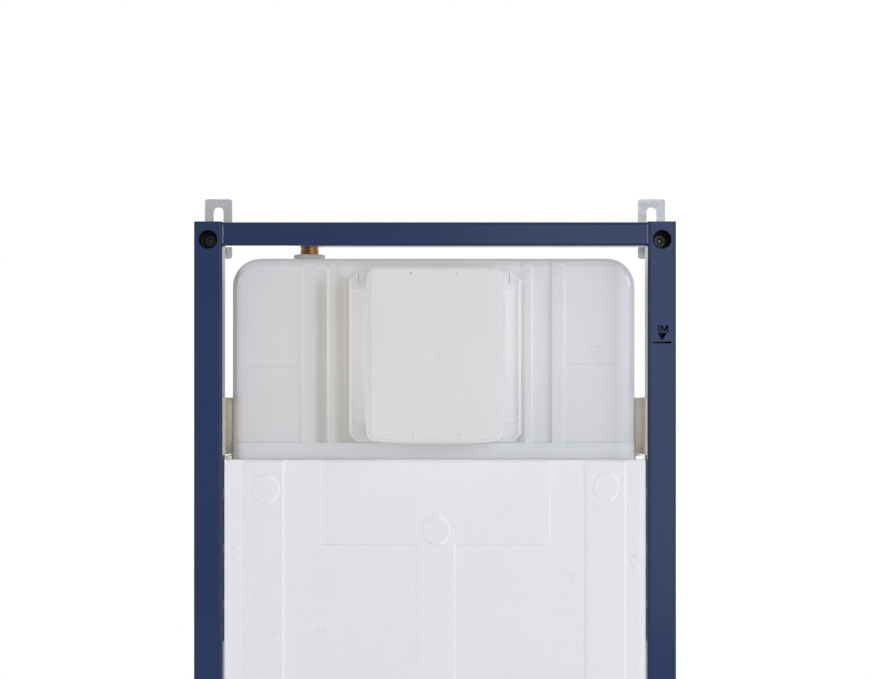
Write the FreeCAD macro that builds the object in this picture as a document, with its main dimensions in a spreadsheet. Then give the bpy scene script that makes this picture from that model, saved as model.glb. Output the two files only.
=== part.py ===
import FreeCAD, Part
import math
import os
import re
import Sketcher

# In-wall frame for a wall hung toilet: two steel posts with a top rail, telescopic legs, screw-adjusted
# wall brackets, a moulded cistern with its access cover, foam insulation, flush pipe and soil bend.
# Millimetres. X runs along the wall, Y back to the wall, Z up from the floor. Every body is drawn with
# its Y measured back from the posts' front faces, and placed so that Y = 0 lies on the floor bolts.

doc = FreeCAD.newDocument("wall_hung_toilet_frame")
sizes = doc.addObject("Spreadsheet::Sheet", "sizes")

DIMENSIONS = {
    # posts, caps and top rail
    "frame_width": 510,
    "frame_height": 1128,
    "post_width": 30,
    "post_depth": 40,
    "post_wall": 2,
    "post_corner": 3,
    "post_bottom": 70,
    "cap_thickness": 2,
    "key_hole_radius": 10,
    "key_hole_drop": 19,
    "rail_height": 25,
    "rail_drop": 0.5,
    "rail_setback": 2,
    "rail_depth": 30,
    # metre mark cut through the right post, one metre above the floor
    "mark_drop": 128,
    "mark_line_length": 19.8,
    "mark_line_width": 2,
    "mark_arrow_width": 10.5,
    "mark_arrow_height": 8.3,
    "mark_arrow_gap": 1,
    "mark_text_gap": 0.7,
    "mark_text_height": 7.5,
    "mark_stroke": 1.6,
    "mark_slant": 3,
    "mark_digit_left": -4.2,
    "mark_letter_left": -1.4,
    "mark_letter_width": 7.8,
    # legs and feet
    "leg_clearance": 0.3,
    "leg_wall": 2.5,
    "leg_overlap": 230,
    "foot_width": 60,
    "foot_length": 100,
    "foot_thickness": 5,
    "foot_corner": 8,
    "floor_bolt_depth": 70,
    "floor_bolt_radius": 5.5,
    "leg_bolt_height": 110,
    "leg_bolt_radius": 5,
    "leg_bolt_reach": 12,
    "leg_nut_flats": 17,
    "leg_nut_length": 8,
    "leg_head_length": 6.5,
    # wall brackets on their adjusting rods
    "bracket_width": 30,
    "bracket_height": 66,
    "bracket_rise": 34,
    "bracket_thickness": 3,
    "bracket_corner": 3,
    "bracket_depth": 125,
    "bracket_slot_width": 11,
    "bracket_slot_length": 27,
    "bracket_slot_edge": 9,
    "slot_flat": 0.5,
    "rod_radius": 6,
    "rod_clearance": 0.3,
    "rod_start": 30,
    "rod_seat": 0.5,
    "rod_socket_flats": 6,
    "rod_socket_depth": 8,
    "rod_nut_flats": 19,
    "rod_nut_length": 12,
    "bracket_nut_length": 8,
    # cistern
    "tank_gap": 8,
    "tank_drop": 37,
    "tank_height": 411,
    "tank_front": 32,
    "tank_back": 109,
    "tank_corner": 30,
    "tank_edge": 9,
    "tank_wall": 3.5,
    "rib_rise": 4.5,
    "rib_slope": 30,
    "rib_top_gap": 10,
    "relief_root": 1,
    "outer_rib_left": -135,
    "inner_rib_left": -110.5,
    "inner_rib_right": 99,
    "outer_rib_right": 130.5,
    "outer_rib_width": 17,
    "inner_rib_width": 9,
    "ledge_drop": 197,
    "ledge_height": 16,
    "ledge_inset": 8,
    "recess_depth": 4,
    "access_opening_width": 110,
    "access_opening_height": 140,
    # access collar and cover
    "collar_rib_gap": 7.5,
    "collar_top_gap": 4.5,
    "collar_ledge_gap": 1.5,
    "collar_proud": 2.5,
    "collar_chamfer": 9,
    "collar_rim": 4.5,
    "collar_step": 2,
    "collar_lip": 18.5,
    "collar_sink": 2.5,
    "cover_inset": 21.5,
    "cover_margin": 0.5,
    "cover_front": -30,
    "cover_base_flare": 2,
    "cover_side_bulge": 5,
    "cover_front_bulge": 1,
    "cover_end_bulge": 2,
    "cover_corner": 8.5,
    "cover_edge": 4.5,
    "cover_wall": 3,
    # water inlet
    "inlet_inset": 81,
    "inlet_depth": 65,
    "inlet_radius": 10.48,
    "inlet_relief": 0.5,
    "inlet_bore": 7,
    "inlet_rise": 25,
    "inlet_clearance": 0.2,
    "inlet_flange_radius": 15,
    "inlet_flange_height": 4,
    "inlet_collar_radius": 17,
    "inlet_collar_height": 5.5,
    "inlet_collar_step": 2.5,
    # strap behind the cistern
    "strap_gap": 1,
    "strap_height": 61,
    "strap_thickness": 2,
    "strap_clearance": 0.3,
    "strap_start": 4,
    "strap_bend": 4,
    # foam insulation
    "foam_gap": 1.3,
    "foam_front": 8,
    "foam_back": 26,
    "foam_drop": 2,
    "foam_plate_gap": 30,
    "foam_relief": 1.5,
    "foam_bar_width": 241,
    "foam_bar_height": 90,
    "foam_stem_width": 42,
    "foam_strip_left_inset": 20.7,
    "foam_strip_right_inset": 28.7,
    "foam_strip_width": 41,
    "foam_side_gap": 0.3,
    "foam_side_rise": 4,
    "foam_side_back": 100,
    "foam_mark_depth": 0.8,
    "foam_disc_inset": 43.7,
    "foam_disc_drop": 28,
    "foam_disc_radius": 14.5,
    "foam_dot_inset": 11.2,
    "foam_dot_drop": 96.5,
    "foam_dot_radius": 7,
    "foam_eye_drop": 72,
    "foam_eye_radius": 17,
    # flush pipe
    "flush_height": 355,
    "flush_radius": 25,
    "flush_wall": 2.5,
    "flush_bend": 55,
    "flush_front": -12,
    "coupling_radius": 38,
    "coupling_height": 30,
    "grommet_radius": 32,
    "grommet_lip": 5,
    "grommet_length": 14,
    "grommet_clearance": 0.2,
    # pan fixing plate and studs
    "plate_gap": 13,
    "plate_rise": 45,
    "plate_setback": 2,
    "plate_thickness": 4,
    "plate_flange": 30,
    "stud_drop": 35,
    "stud_spacing": 180,
    "spare_step": 25,
    "stud_radius": 6,
    "stud_relief": 0.2,
    "stud_clearance": 0.4,
    "stud_front": -50,
    "stud_back": 34,
    "stud_nut_flats": 19,
    "stud_nut_length": 10,
    # soil bend and its clip
    "soil_drop": 135,
    "soil_depth": 72,
    "soil_radius": 45,
    "soil_wall": 4,
    "soil_bend": 62,
    "soil_bottom": 40,
    "socket_front": -25,
    "socket_clearance": 0.3,
    "socket_wall": 6.7,
    "clip_clearance": 0.3,
    "clip_thickness": 2.5,
    "clip_width": 18,
    "clip_tab_width": 44,
    "clip_gap": 6,
}

for row, (alias, value) in enumerate(DIMENSIONS.items(), start=1):
    sizes.set(f"A{row}", alias)
    sizes.set(f"B{row}", str(value))
    sizes.setAlias(f"B{row}", alias)
doc.recompute()

HALF_GAP = "(frame_width / 2 - post_width)"
POST_MIDDLE = "(frame_width / 2 - post_width / 2)"
KEY_HEIGHT = "(frame_height - key_hole_drop)"
TANK_HALF = f"({HALF_GAP} - tank_gap)"
TANK_TOP = "(frame_height - tank_drop)"
TANK_BOTTOM = f"({TANK_TOP} - tank_height)"
RELIEF_TOP = f"({TANK_TOP} - rib_top_gap)"
LEDGE_TOP = f"({TANK_TOP} - ledge_drop)"
LEDGE_BOTTOM = f"({LEDGE_TOP} - ledge_height)"
RECESS_FLOOR = "(tank_front + recess_depth)"
FLUSH_DEPTH = "((tank_front + tank_back) / 2)"
SOIL_HEIGHT = "(flush_height - soil_drop)"
SOCKET_BORE = "(soil_radius + socket_clearance)"
SOCKET_RADIUS = f"({SOCKET_BORE} + socket_wall)"
PLATE_BOTTOM = f"({SOIL_HEIGHT} + {SOCKET_RADIUS} + plate_gap)"
PLATE_TOP = "(flush_height + plate_rise)"
PLATE_BACK = "(plate_setback + plate_thickness)"
STUD_HEIGHT = "(flush_height - stud_drop)"
FOAM_TOP = f"({LEDGE_BOTTOM} - foam_drop)"
FOAM_BOTTOM = f"({PLATE_TOP} + foam_plate_gap)"
FOAM_SIDE_TOP = f"({FOAM_TOP} + foam_side_rise)"
TOLERANCE = 0.001

sub_parts = []


def cells(expression):
    """Write the sheet's aliases in an expression as references to its cells."""
    def reference(word):
        return "sizes." + word.group() if word.group() in DIMENSIONS else word.group()
    return re.sub(r"[a-z][a-z_]*", reference, str(expression))


def number(expression):
    """The present value of an expression."""
    return float(sizes.evalExpression(cells(expression)))


def bind(thing, **expressions):
    for name, expression in expressions.items():
        thing.setExpression(name.replace("__", "."), cells(expression))


def place(thing, label, x="0"):
    """Label a finished sub-part and set it in the frame."""
    thing.Label = label
    bind(thing, Placement__Base__x=x, Placement__Base__y="-floor_bolt_depth")
    sub_parts.append(thing)


def body_named(label, x="0"):
    body = doc.addObject("PartDesign::Body", label)
    place(body, label, x)
    return body


def sketch_on(body, plane, offset="0"):
    """A sketch on one of the body's origin planes: XY at a height, XZ at a depth, YZ at an X."""
    sketch = body.newObject("Sketcher::SketchObject", f"{body.Name}_sketch")
    role = plane + "_Plane"
    support = next(item for item in body.Origin.OriginFeatures if item.Role == role)
    sketch.AttachmentSupport = [(support, "")]
    sketch.MapMode = "FlatFace"
    normal = f"-({offset})" if plane == "XZ" else offset
    bind(sketch, AttachmentOffset__Base__z=normal)
    return sketch


def hold_distance(sketch, kind, element, point, distance):
    """Hold a sketch point at a distance from the origin along one axis."""
    index = sketch.addConstraint(Sketcher.Constraint(kind, -1, 1, element, point, number(distance)))
    bind(sketch, **{f"Constraints[{index}]": distance})


def hold_point(sketch, element, point, x, y):
    hold_distance(sketch, "DistanceX", element, point, x)
    hold_distance(sketch, "DistanceY", element, point, y)


def hold_radius(sketch, element, radius):
    index = sketch.addConstraint(Sketcher.Constraint("Radius", element, number(radius)))
    bind(sketch, **{f"Constraints[{index}]": radius})


def flat(x, y):
    return FreeCAD.Vector(number(x), number(y), 0)


def polygon(sketch, corners):
    first = sketch.GeometryCount
    count = len(corners)
    for step in range(count):
        start = flat(*corners[step])
        end = flat(*corners[(step + 1) % count])
        sketch.addGeometry(Part.LineSegment(start, end))
    for step in range(count):
        follower = first + (step + 1) % count
        sketch.addConstraint(Sketcher.Constraint("Coincident", first + step, 2, follower, 1))
        hold_point(sketch, first + step, 1, *corners[step])


def rectangle(sketch, left, bottom, right, top):
    polygon(sketch, [(left, bottom), (right, bottom), (right, top), (left, top)])


def rounded_rectangle(sketch, left, bottom, right, top, radius):
    """A rectangle with four equal corner arcs, tangent to its sides."""
    low = flat(left, bottom)
    high = flat(right, top)
    turn = number(radius)
    first = sketch.GeometryCount
    sides = [((low.x + turn, low.y), (high.x - turn, low.y)), ((high.x, low.y + turn), (high.x, high.y - turn)),
             ((high.x - turn, high.y), (low.x + turn, high.y)), ((low.x, high.y - turn), (low.x, low.y + turn))]
    middles = [(high.x - turn, low.y + turn), (high.x - turn, high.y - turn),
               (low.x + turn, high.y - turn), (low.x + turn, low.y + turn)]
    for step in range(4):
        start, end = sides[step]
        sketch.addGeometry(Part.LineSegment(FreeCAD.Vector(*start), FreeCAD.Vector(*end)))
        round_corner = Part.Circle(FreeCAD.Vector(*middles[step]), FreeCAD.Vector(0, 0, 1), turn)
        begin = (step - 1) * math.pi / 2
        sketch.addGeometry(Part.ArcOfCircle(round_corner, begin, begin + math.pi / 2))
    for step in range(4):
        side = first + 2 * step
        arc = side + 1
        follower = first + 2 * ((step + 1) % 4)
        sketch.addConstraint(Sketcher.Constraint("Tangent", side, 2, arc, 1))
        sketch.addConstraint(Sketcher.Constraint("Tangent", arc, 2, follower, 1))
        sketch.addConstraint(Sketcher.Constraint("Vertical" if step % 2 else "Horizontal", side))
        if step:
            sketch.addConstraint(Sketcher.Constraint("Equal", first + 1, arc))
    hold_radius(sketch, first + 1, radius)
    for step, kind, distance in ((0, "DistanceY", bottom), (1, "DistanceX", right),
                                 (2, "DistanceY", top), (3, "DistanceX", left)):
        hold_distance(sketch, kind, first + 2 * step, 1, distance)


def circle(sketch, x, y, radius):
    element = sketch.addGeometry(Part.Circle(flat(x, y), FreeCAD.Vector(0, 0, 1), number(radius)))
    hold_point(sketch, element, 3, x, y)
    hold_radius(sketch, element, radius)


def barrel(sketch, half_width, half_height, middle, side_bulge, end_bulge):
    """A rectangle whose four sides are shallow arcs that swell outwards."""
    low = f"{middle} - ({half_height})"
    high = f"{middle} + ({half_height})"
    corners = [(f"-({half_width})", low), (half_width, low), (half_width, high), (f"-({half_width})", high)]
    swells = [end_bulge, side_bulge, end_bulge, side_bulge]
    halves = [half_width, half_height, half_width, half_height]
    first = sketch.GeometryCount
    for step in range(4):
        start = flat(*corners[step])
        end = flat(*corners[(step + 1) % 4])
        outwards = FreeCAD.Vector(end.y - start.y, start.x - end.x, 0).normalize()
        top = (start + end) * 0.5 + outwards * number(swells[step])
        sketch.addGeometry(Part.Arc(start, top, end))
    for step in range(4):
        follower = first + (step + 1) % 4
        sketch.addConstraint(Sketcher.Constraint("Coincident", first + step, 2, follower, 1))
        hold_point(sketch, first + step, 1, *corners[step])
        hold_radius(sketch, first + step, f"(({halves[step]})^2 + ({swells[step]})^2) / 2 / ({swells[step]})")


def pad(body, sketch, length, backwards=False, taper=None):
    feature = body.newObject("PartDesign::Pad", f"{body.Name}_pad")
    feature.Profile = sketch
    feature.Reversed = backwards
    bind(feature, Length=length)
    if taper:
        bind(feature, TaperAngle=taper)
    doc.recompute()


def pocket(body, sketch, length, backwards=False):
    """Cut a pocket, which always has to take material away."""
    before = body.Shape.Volume
    feature = body.newObject("PartDesign::Pocket", f"{body.Name}_pocket")
    feature.Profile = sketch
    feature.Reversed = backwards
    bind(feature, Length=length)
    doc.recompute()
    if body.Shape.Volume > before - TOLERANCE:
        raise RuntimeError(f"{feature.Name} cuts nothing")


def along(axis):
    """Pick the straight edges that run along an axis."""
    def test(edge):
        if not isinstance(edge.Curve, Part.Line):
            return False
        return abs(abs(edge.Curve.Direction.dot(axis)) - 1) < TOLERANCE
    return test


def at_depth(depth):
    """Pick the edges that lie wholly at one depth."""
    level = number(depth)

    def test(edge):
        middle = edge.valueAt((edge.FirstParameter + edge.LastParameter) / 2)
        points = [vertex.Point for vertex in edge.Vertexes] + [middle]
        return all(abs(point.y - level) < TOLERANCE for point in points)
    return test


def fillet(body, test, radius):
    """Round the edges of the body's last feature that pass a test."""
    tip = body.Tip
    names = [f"Edge{index}" for index, edge in enumerate(tip.Shape.Edges, start=1) if test(edge)]
    feature = body.newObject("PartDesign::Fillet", f"{body.Name}_fillet")
    feature.Base = (tip, names)
    bind(feature, Radius=radius)
    doc.recompute()


def chamfer(body, test, size):
    tip = body.Tip
    names = [f"Edge{index}" for index, edge in enumerate(tip.Shape.Edges, start=1) if test(edge)]
    feature = body.newObject("PartDesign::Chamfer", f"{body.Name}_chamfer")
    feature.Base = (tip, names)
    bind(feature, Size=size)
    doc.recompute()


AXIS_X = FreeCAD.Vector(1, 0, 0)
AXIS_Y = FreeCAD.Vector(0, 1, 0)
AXIS_Z = FreeCAD.Vector(0, 0, 1)
TURNS = {
    "x": FreeCAD.Rotation(AXIS_Y, 90),
    "y": FreeCAD.Rotation(AXIS_X, -90),
    "z": FreeCAD.Rotation(),
}


def primitive(kind, axis, x, y, z, **dimensions):
    """A Part primitive that starts at a point and runs along an axis."""
    thing = doc.addObject(kind, kind.split("::")[1].lower())
    thing.Placement = FreeCAD.Placement(FreeCAD.Vector(), TURNS[axis])
    bind(thing, Placement__Base__x=x, Placement__Base__y=y, Placement__Base__z=z, **dimensions)
    return thing


def cylinder(axis, x, y, z, radius, length):
    return primitive("Part::Cylinder", axis, x, y, z, Radius=radius, Height=length)


def hexagon(axis, x, y, z, flats, length):
    thing = primitive("Part::Prism", axis, x, y, z, Circumradius=f"{flats} / 2 / cos(30)", Height=length)
    thing.Polygon = 6
    return thing


def box(x, y, z, length, width, height):
    return primitive("Part::Box", "z", x, y, z, Length=length, Width=width, Height=height)


def quarter_bend(middle_y, middle_z, radius, section, rising):
    """A quarter torus from a pipe along Y to an upright pipe behind it, which rises or falls from there."""
    thing = doc.addObject("Part::Torus", "torus")
    thing.Angle3 = 90
    start, end = (-AXIS_Z, AXIS_Y) if rising else (AXIS_Y, AXIS_Z)
    thing.Placement = FreeCAD.Placement(FreeCAD.Vector(), FreeCAD.Rotation(start, end, AXIS_X, "ZXY"))
    bind(thing, Placement__Base__y=middle_y, Placement__Base__z=middle_z, Radius1=radius, Radius2=section)
    return thing


def fused(things):
    fusion = doc.addObject("Part::MultiFuse", "fusion")
    fusion.Shapes = things
    fusion.Refine = True
    return fusion


def cut(base, tool):
    result = doc.addObject("Part::Cut", "cut")
    result.Base = base
    result.Tool = tool
    return result


# Posts: rounded rectangular tubes with a key hole at the front and a rod hole at the back.
SIDES = (("left", -1), ("right", 1))


def post(side, sign):
    body = body_named(f"post_{side}", f"{sign} * {POST_MIDDLE}")
    outline = sketch_on(body, "XY", "post_bottom")
    rectangle(outline, "-post_width / 2", "0", "post_width / 2", "post_depth")
    pad(body, outline, "frame_height - cap_thickness - post_bottom")
    fillet(body, along(AXIS_Z), "post_corner")
    inside = sketch_on(body, "XY", "frame_height - cap_thickness")
    half_inside = "post_width / 2 - post_wall"
    rectangle(inside, f"-({half_inside})", "post_wall", half_inside, "post_depth - post_wall")
    pocket(body, inside, "frame_height - cap_thickness - post_bottom")
    key = sketch_on(body, "XZ")
    circle(key, "0", KEY_HEIGHT, "key_hole_radius")
    pocket(body, key, "post_wall")
    rod = sketch_on(body, "XZ", "post_depth - post_wall")
    circle(rod, "0", KEY_HEIGHT, "rod_radius + rod_clearance")
    pocket(body, rod, "post_wall")
    bolt = sketch_on(body, "YZ", "0")
    circle(bolt, "post_depth / 2", "leg_bolt_height", "leg_bolt_radius + rod_clearance")
    pocket(body, bolt, "post_width / 2", backwards=sign < 0)
    return body


def metre_mark(body):
    """Cut a line, an arrow and the text 1M through the front wall, one metre above the floor."""
    line = sketch_on(body, "XZ")
    low = "frame_height - mark_drop - mark_line_width / 2"
    high = "frame_height - mark_drop + mark_line_width / 2"
    rectangle(line, "-mark_line_length / 2", low, "mark_line_length / 2", high)
    pocket(body, line, "post_wall")
    arrow = sketch_on(body, "XZ")
    tip = f"{high} + mark_arrow_gap"
    top = f"{tip} + mark_arrow_height"
    polygon(arrow, [("0", tip), ("mark_arrow_width / 2", top), ("-mark_arrow_width / 2", top)])
    pocket(body, arrow, "post_wall")
    foot = f"{top} + mark_text_gap"
    head = f"{foot} + mark_text_height"
    digit = sketch_on(body, "XZ")
    digit_right = "mark_digit_left + mark_stroke"
    polygon(digit, [
        ("mark_digit_left", foot), (digit_right, foot), (digit_right, head), ("mark_digit_left", head),
        ("mark_digit_left - mark_stroke / 2", f"{head} - mark_stroke"), ("mark_digit_left", f"{head} - mark_stroke"),
    ])
    pocket(body, digit, "post_wall")
    letter = sketch_on(body, "XZ")
    left = "mark_letter_left"
    right = f"{left} + mark_letter_width"
    middle = f"{left} + mark_letter_width / 2"
    polygon(letter, [
        (left, foot), (f"{left} + mark_stroke", foot), (f"{left} + mark_stroke", f"{head} - mark_slant"),
        (middle, foot), (f"{right} - mark_stroke", f"{head} - mark_slant"), (f"{right} - mark_stroke", foot),
        (right, foot), (right, head), (f"{right} - mark_stroke", head),
        (middle, f"{foot} + mark_slant"), (f"{left} + mark_stroke", head), (left, head),
    ])
    pocket(body, letter, "post_wall")


for side, sign in SIDES:
    upright = post(side, sign)
    if side == "right":
        metre_mark(upright)

    # Cap plate welded on the top end of the post.
    cap = body_named(f"post_cap_{side}", f"{sign} * {POST_MIDDLE}")
    outline = sketch_on(cap, "XY", "frame_height - cap_thickness")
    rectangle(outline, "-post_width / 2", "0", "post_width / 2", "post_depth")
    pad(cap, outline, "cap_thickness")
    fillet(cap, along(AXIS_Z), "post_corner")

# Top rail: a tube welded between the posts, a little behind their front faces.
rail = body_named("top_rail")
outline = sketch_on(rail, "YZ", f"-{HALF_GAP}")
rail_top = "frame_height - rail_drop"
rectangle(outline, "rail_setback", f"{rail_top} - rail_height", "rail_setback + rail_depth", rail_top)
pad(rail, outline, f"2 * {HALF_GAP}")
fillet(rail, along(AXIS_X), "post_corner")
inside = sketch_on(rail, "YZ", HALF_GAP)
rectangle(inside, "rail_setback + post_wall", f"{rail_top} - rail_height + post_wall",
          "rail_setback + rail_depth - post_wall", f"{rail_top} - post_wall")
pocket(rail, inside, f"2 * {HALF_GAP}")

# Telescopic legs: tubes that slide in the posts and stand on foot plates, held by a clamp bolt.
LEG_HALF = "(post_width / 2 - post_wall - leg_clearance)"
LEG_FRONT = "(post_wall + leg_clearance)"
LEG_BACK = "(post_depth - post_wall - leg_clearance)"

for side, sign in SIDES:
    middle = f"{sign} * {POST_MIDDLE}"
    leg = body_named(f"leg_{side}", middle)
    outline = sketch_on(leg, "XY", "foot_thickness")
    rectangle(outline, f"-{LEG_HALF}", LEG_FRONT, LEG_HALF, LEG_BACK)
    pad(leg, outline, "post_bottom + leg_overlap - foot_thickness")
    inside = sketch_on(leg, "XY", "post_bottom + leg_overlap")
    rectangle(inside, f"-{LEG_HALF} + leg_wall", f"{LEG_FRONT} + leg_wall",
              f"{LEG_HALF} - leg_wall", f"{LEG_BACK} - leg_wall")
    pocket(leg, inside, "post_bottom + leg_overlap - foot_thickness")

    foot = body_named(f"foot_plate_{side}", middle)
    outline = sketch_on(foot, "XY")
    rectangle(outline, "-foot_width / 2", "0", "foot_width / 2", "foot_length")
    pad(foot, outline, "foot_thickness")
    fillet(foot, along(AXIS_Z), "foot_corner")
    hole = sketch_on(foot, "XY", "foot_thickness")
    circle(hole, "0", "floor_bolt_depth", "floor_bolt_radius")
    pocket(foot, hole, "foot_thickness")

    # The clamp bolt points outwards from the gap between the posts and presses on the leg.
    face = f"{sign} * {HALF_GAP}"
    inward = "0" if sign < 0 else "-leg_nut_length"
    nut = cut(hexagon("x", inward, "post_depth / 2", "leg_bolt_height", "leg_nut_flats", "leg_nut_length"),
              cylinder("x", inward, "post_depth / 2", "leg_bolt_height", "leg_bolt_radius + rod_clearance",
                       "leg_nut_length"))
    place(nut, f"leg_nut_{side}", face)
    shank_length = f"{LEG_FRONT} + leg_bolt_reach"
    shank_start = f"-{LEG_FRONT}" if sign < 0 else "-leg_bolt_reach"
    head_start = "leg_bolt_reach" if sign < 0 else "-leg_bolt_reach - leg_head_length"
    bolt = fused([
        cylinder("x", shank_start, "post_depth / 2", "leg_bolt_height", "leg_bolt_radius", shank_length),
        hexagon("x", head_start, "post_depth / 2", "leg_bolt_height", "leg_nut_flats", "leg_head_length"),
    ])
    place(bolt, f"leg_bolt_{side}", face)

# Wall brackets: slotted plates on threaded rods, which are turned with a key through the post's front hole.
for side, sign in SIDES:
    middle = f"{sign} * {POST_MIDDLE}"
    bracket = body_named(f"wall_bracket_{side}", middle)
    top = "frame_height + bracket_rise"
    outline = sketch_on(bracket, "XZ", "bracket_depth")
    rectangle(outline, "-bracket_width / 2", f"{top} - bracket_height", "bracket_width / 2", top)
    pad(bracket, outline, "bracket_thickness", backwards=True)
    fillet(bracket, along(AXIS_Y), "bracket_corner")
    slot = sketch_on(bracket, "XZ", "bracket_depth")
    slot_top = f"{top} - bracket_slot_edge"
    rounded_rectangle(slot, "-bracket_slot_width / 2", f"{slot_top} - bracket_slot_length",
                      "bracket_slot_width / 2", slot_top, "bracket_slot_width / 2 - slot_flat")
    circle(slot, "0", KEY_HEIGHT, "rod_radius + rod_clearance")
    pocket(bracket, slot, "bracket_thickness")

    rod = cut(cylinder("y", "0", "rod_start", KEY_HEIGHT, "rod_radius",
                       "bracket_depth + bracket_thickness - rod_seat - rod_start"),
              hexagon("y", "0", "rod_start", KEY_HEIGHT, "rod_socket_flats", "rod_socket_depth"))
    place(rod, f"adjusting_rod_{side}", middle)

    weld_nut = cut(hexagon("y", "0", "post_depth", KEY_HEIGHT, "rod_nut_flats", "rod_nut_length"),
                   cylinder("y", "0", "post_depth", KEY_HEIGHT, "rod_radius + rod_clearance", "rod_nut_length"))
    place(weld_nut, f"rod_nut_{side}", middle)

    front = "bracket_depth - bracket_nut_length"
    lock_nut = cut(hexagon("y", "0", front, KEY_HEIGHT, "rod_nut_flats", "bracket_nut_length"),
                   cylinder("y", "0", front, KEY_HEIGHT, "rod_radius + rod_clearance", "bracket_nut_length"))
    place(lock_nut, f"bracket_nut_{side}", middle)

# Cistern: a blow-moulded shell with four upright ribs, a ledge across the front and a recess for the collar.
tank = body_named("cistern_body")
outline = sketch_on(tank, "XZ", "tank_front")
rounded_rectangle(outline, f"-{TANK_HALF}", TANK_BOTTOM, TANK_HALF, TANK_TOP, "tank_corner")
pad(tank, outline, "tank_back - tank_front", backwards=True)
fillet(tank, lambda edge: at_depth("tank_front")(edge) or at_depth("tank_back")(edge), "tank_edge")

RIBS = (("outer_rib_left", "outer_rib_width"), ("inner_rib_left", "inner_rib_width"),
        ("inner_rib_right", "inner_rib_width"), ("outer_rib_right", "outer_rib_width"))
RELIEF_ROOT = f"({RECESS_FLOOR} + relief_root)"
RELIEF_HEIGHT = "(rib_rise + recess_depth + relief_root)"
RIB_FLARE = f"({RELIEF_HEIGHT} * tan(rib_slope / 2))"
recess = sketch_on(tank, "XZ", "tank_front")
rectangle(recess, "inner_rib_left", LEDGE_BOTTOM, "inner_rib_right", RELIEF_TOP)
pocket(tank, recess, "recess_depth")
for position, width in RIBS:
    rib = sketch_on(tank, "XZ", RELIEF_ROOT)
    rectangle(rib, f"{position} - {width} / 2 - {RIB_FLARE}", LEDGE_BOTTOM,
              f"{position} + {width} / 2 + {RIB_FLARE}", RELIEF_TOP)
    pad(tank, rib, RELIEF_HEIGHT, taper="-rib_slope / 2")
ledge = sketch_on(tank, "XZ", RELIEF_ROOT)
rectangle(ledge, f"-{TANK_HALF} + ledge_inset", LEDGE_BOTTOM, f"{TANK_HALF} - ledge_inset", LEDGE_TOP)
pad(tank, ledge, RELIEF_HEIGHT, taper="-rib_slope / 2")

COLLAR_HALF = "(inner_rib_right - collar_rib_gap)"
COVER_HALF = f"({COLLAR_HALF} - cover_inset)"
COLLAR_LOW = f"({LEDGE_TOP} + collar_ledge_gap)"
COLLAR_HIGH = f"({RELIEF_TOP} - collar_top_gap)"
COLLAR_MIDDLE = f"(({COLLAR_LOW} + {COLLAR_HIGH}) / 2)"
ACCESS_OPENING = ("-access_opening_width / 2", f"{COLLAR_MIDDLE} - access_opening_height / 2",
                  "access_opening_width / 2", f"{COLLAR_MIDDLE} + access_opening_height / 2")
opening = sketch_on(tank, "XZ", "tank_front")
rectangle(opening, *ACCESS_OPENING)
pocket(tank, opening, "recess_depth + tank_wall + relief_root")
cavity = sketch_on(tank, "XZ", f"{RECESS_FLOOR} + tank_wall")
rounded_rectangle(cavity, f"-{TANK_HALF} + tank_wall", f"{TANK_BOTTOM} + tank_wall", f"{TANK_HALF} - tank_wall",
                  f"{TANK_TOP} - tank_wall", "tank_corner - tank_wall")
pocket(tank, cavity, "tank_back - tank_front - recess_depth - 2 * tank_wall")
outlet = sketch_on(tank, "XY", TANK_BOTTOM)
circle(outlet, "0", FLUSH_DEPTH, "flush_radius + grommet_clearance")
pocket(tank, outlet, "tank_wall", backwards=True)
INLET_X = f"(inlet_inset - {TANK_HALF})"
inlet = sketch_on(tank, "XY", TANK_TOP)
circle(inlet, INLET_X, "inlet_depth", "inlet_radius + inlet_clearance")
pocket(tank, inlet, "tank_wall")

# Access collar: a chamfered plastic flange on the recess, with a rim down each side of a lower panel,
# which sinks further between a lip at the top and one at the bottom.
COLLAR_FRONT = "(tank_front - rib_rise - collar_proud)"
COLLAR_PANEL = f"({COLLAR_FRONT} + collar_step)"
collar = body_named("access_collar")
outline = sketch_on(collar, "XZ", COLLAR_FRONT)
rectangle(outline, f"-{COLLAR_HALF}", COLLAR_LOW, COLLAR_HALF, COLLAR_HIGH)
pad(collar, outline, f"{RECESS_FLOOR} - {COLLAR_FRONT}", backwards=True)
chamfer(collar, along(AXIS_Y), "collar_chamfer")
panel = sketch_on(collar, "XZ", COLLAR_FRONT)
rectangle(panel, f"-{COLLAR_HALF} + collar_rim", COLLAR_LOW, f"{COLLAR_HALF} - collar_rim", COLLAR_HIGH)
pocket(collar, panel, "collar_step")
for sign in (-1, 1):
    sunk = sketch_on(collar, "XZ", COLLAR_PANEL)
    across = sorted((f"{sign} * ({COLLAR_HALF} - collar_rim)", f"{sign} * {COVER_HALF}"), key=number)
    rectangle(sunk, across[0], f"{COLLAR_LOW} + collar_lip", across[1], f"{COLLAR_HIGH} - collar_lip")
    pocket(collar, sunk, "collar_sink")
window = sketch_on(collar, "XZ", COLLAR_FRONT)
rectangle(window, *ACCESS_OPENING)
pocket(collar, window, f"{RECESS_FLOOR} - {COLLAR_FRONT}")

# Access cover: a moulded cap whose sides swell, seated on the collar's inner panel.
cover = body_named("access_cover")


def cover_section(depth, inset, flare, side_bulge):
    section = sketch_on(cover, "XZ", depth)
    half_width = f"{COVER_HALF} + {flare} - {inset}"
    half_height = f"({COLLAR_HIGH} - {COLLAR_LOW}) / 2 - cover_margin - {inset}"
    barrel(section, half_width, half_height, COLLAR_MIDDLE, side_bulge, "cover_end_bulge")
    return section


def cover_loft(kind, base, front):
    feature = cover.newObject(kind, "cover_loft")
    feature.Profile = base
    feature.Sections = [front]
    doc.recompute()


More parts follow.
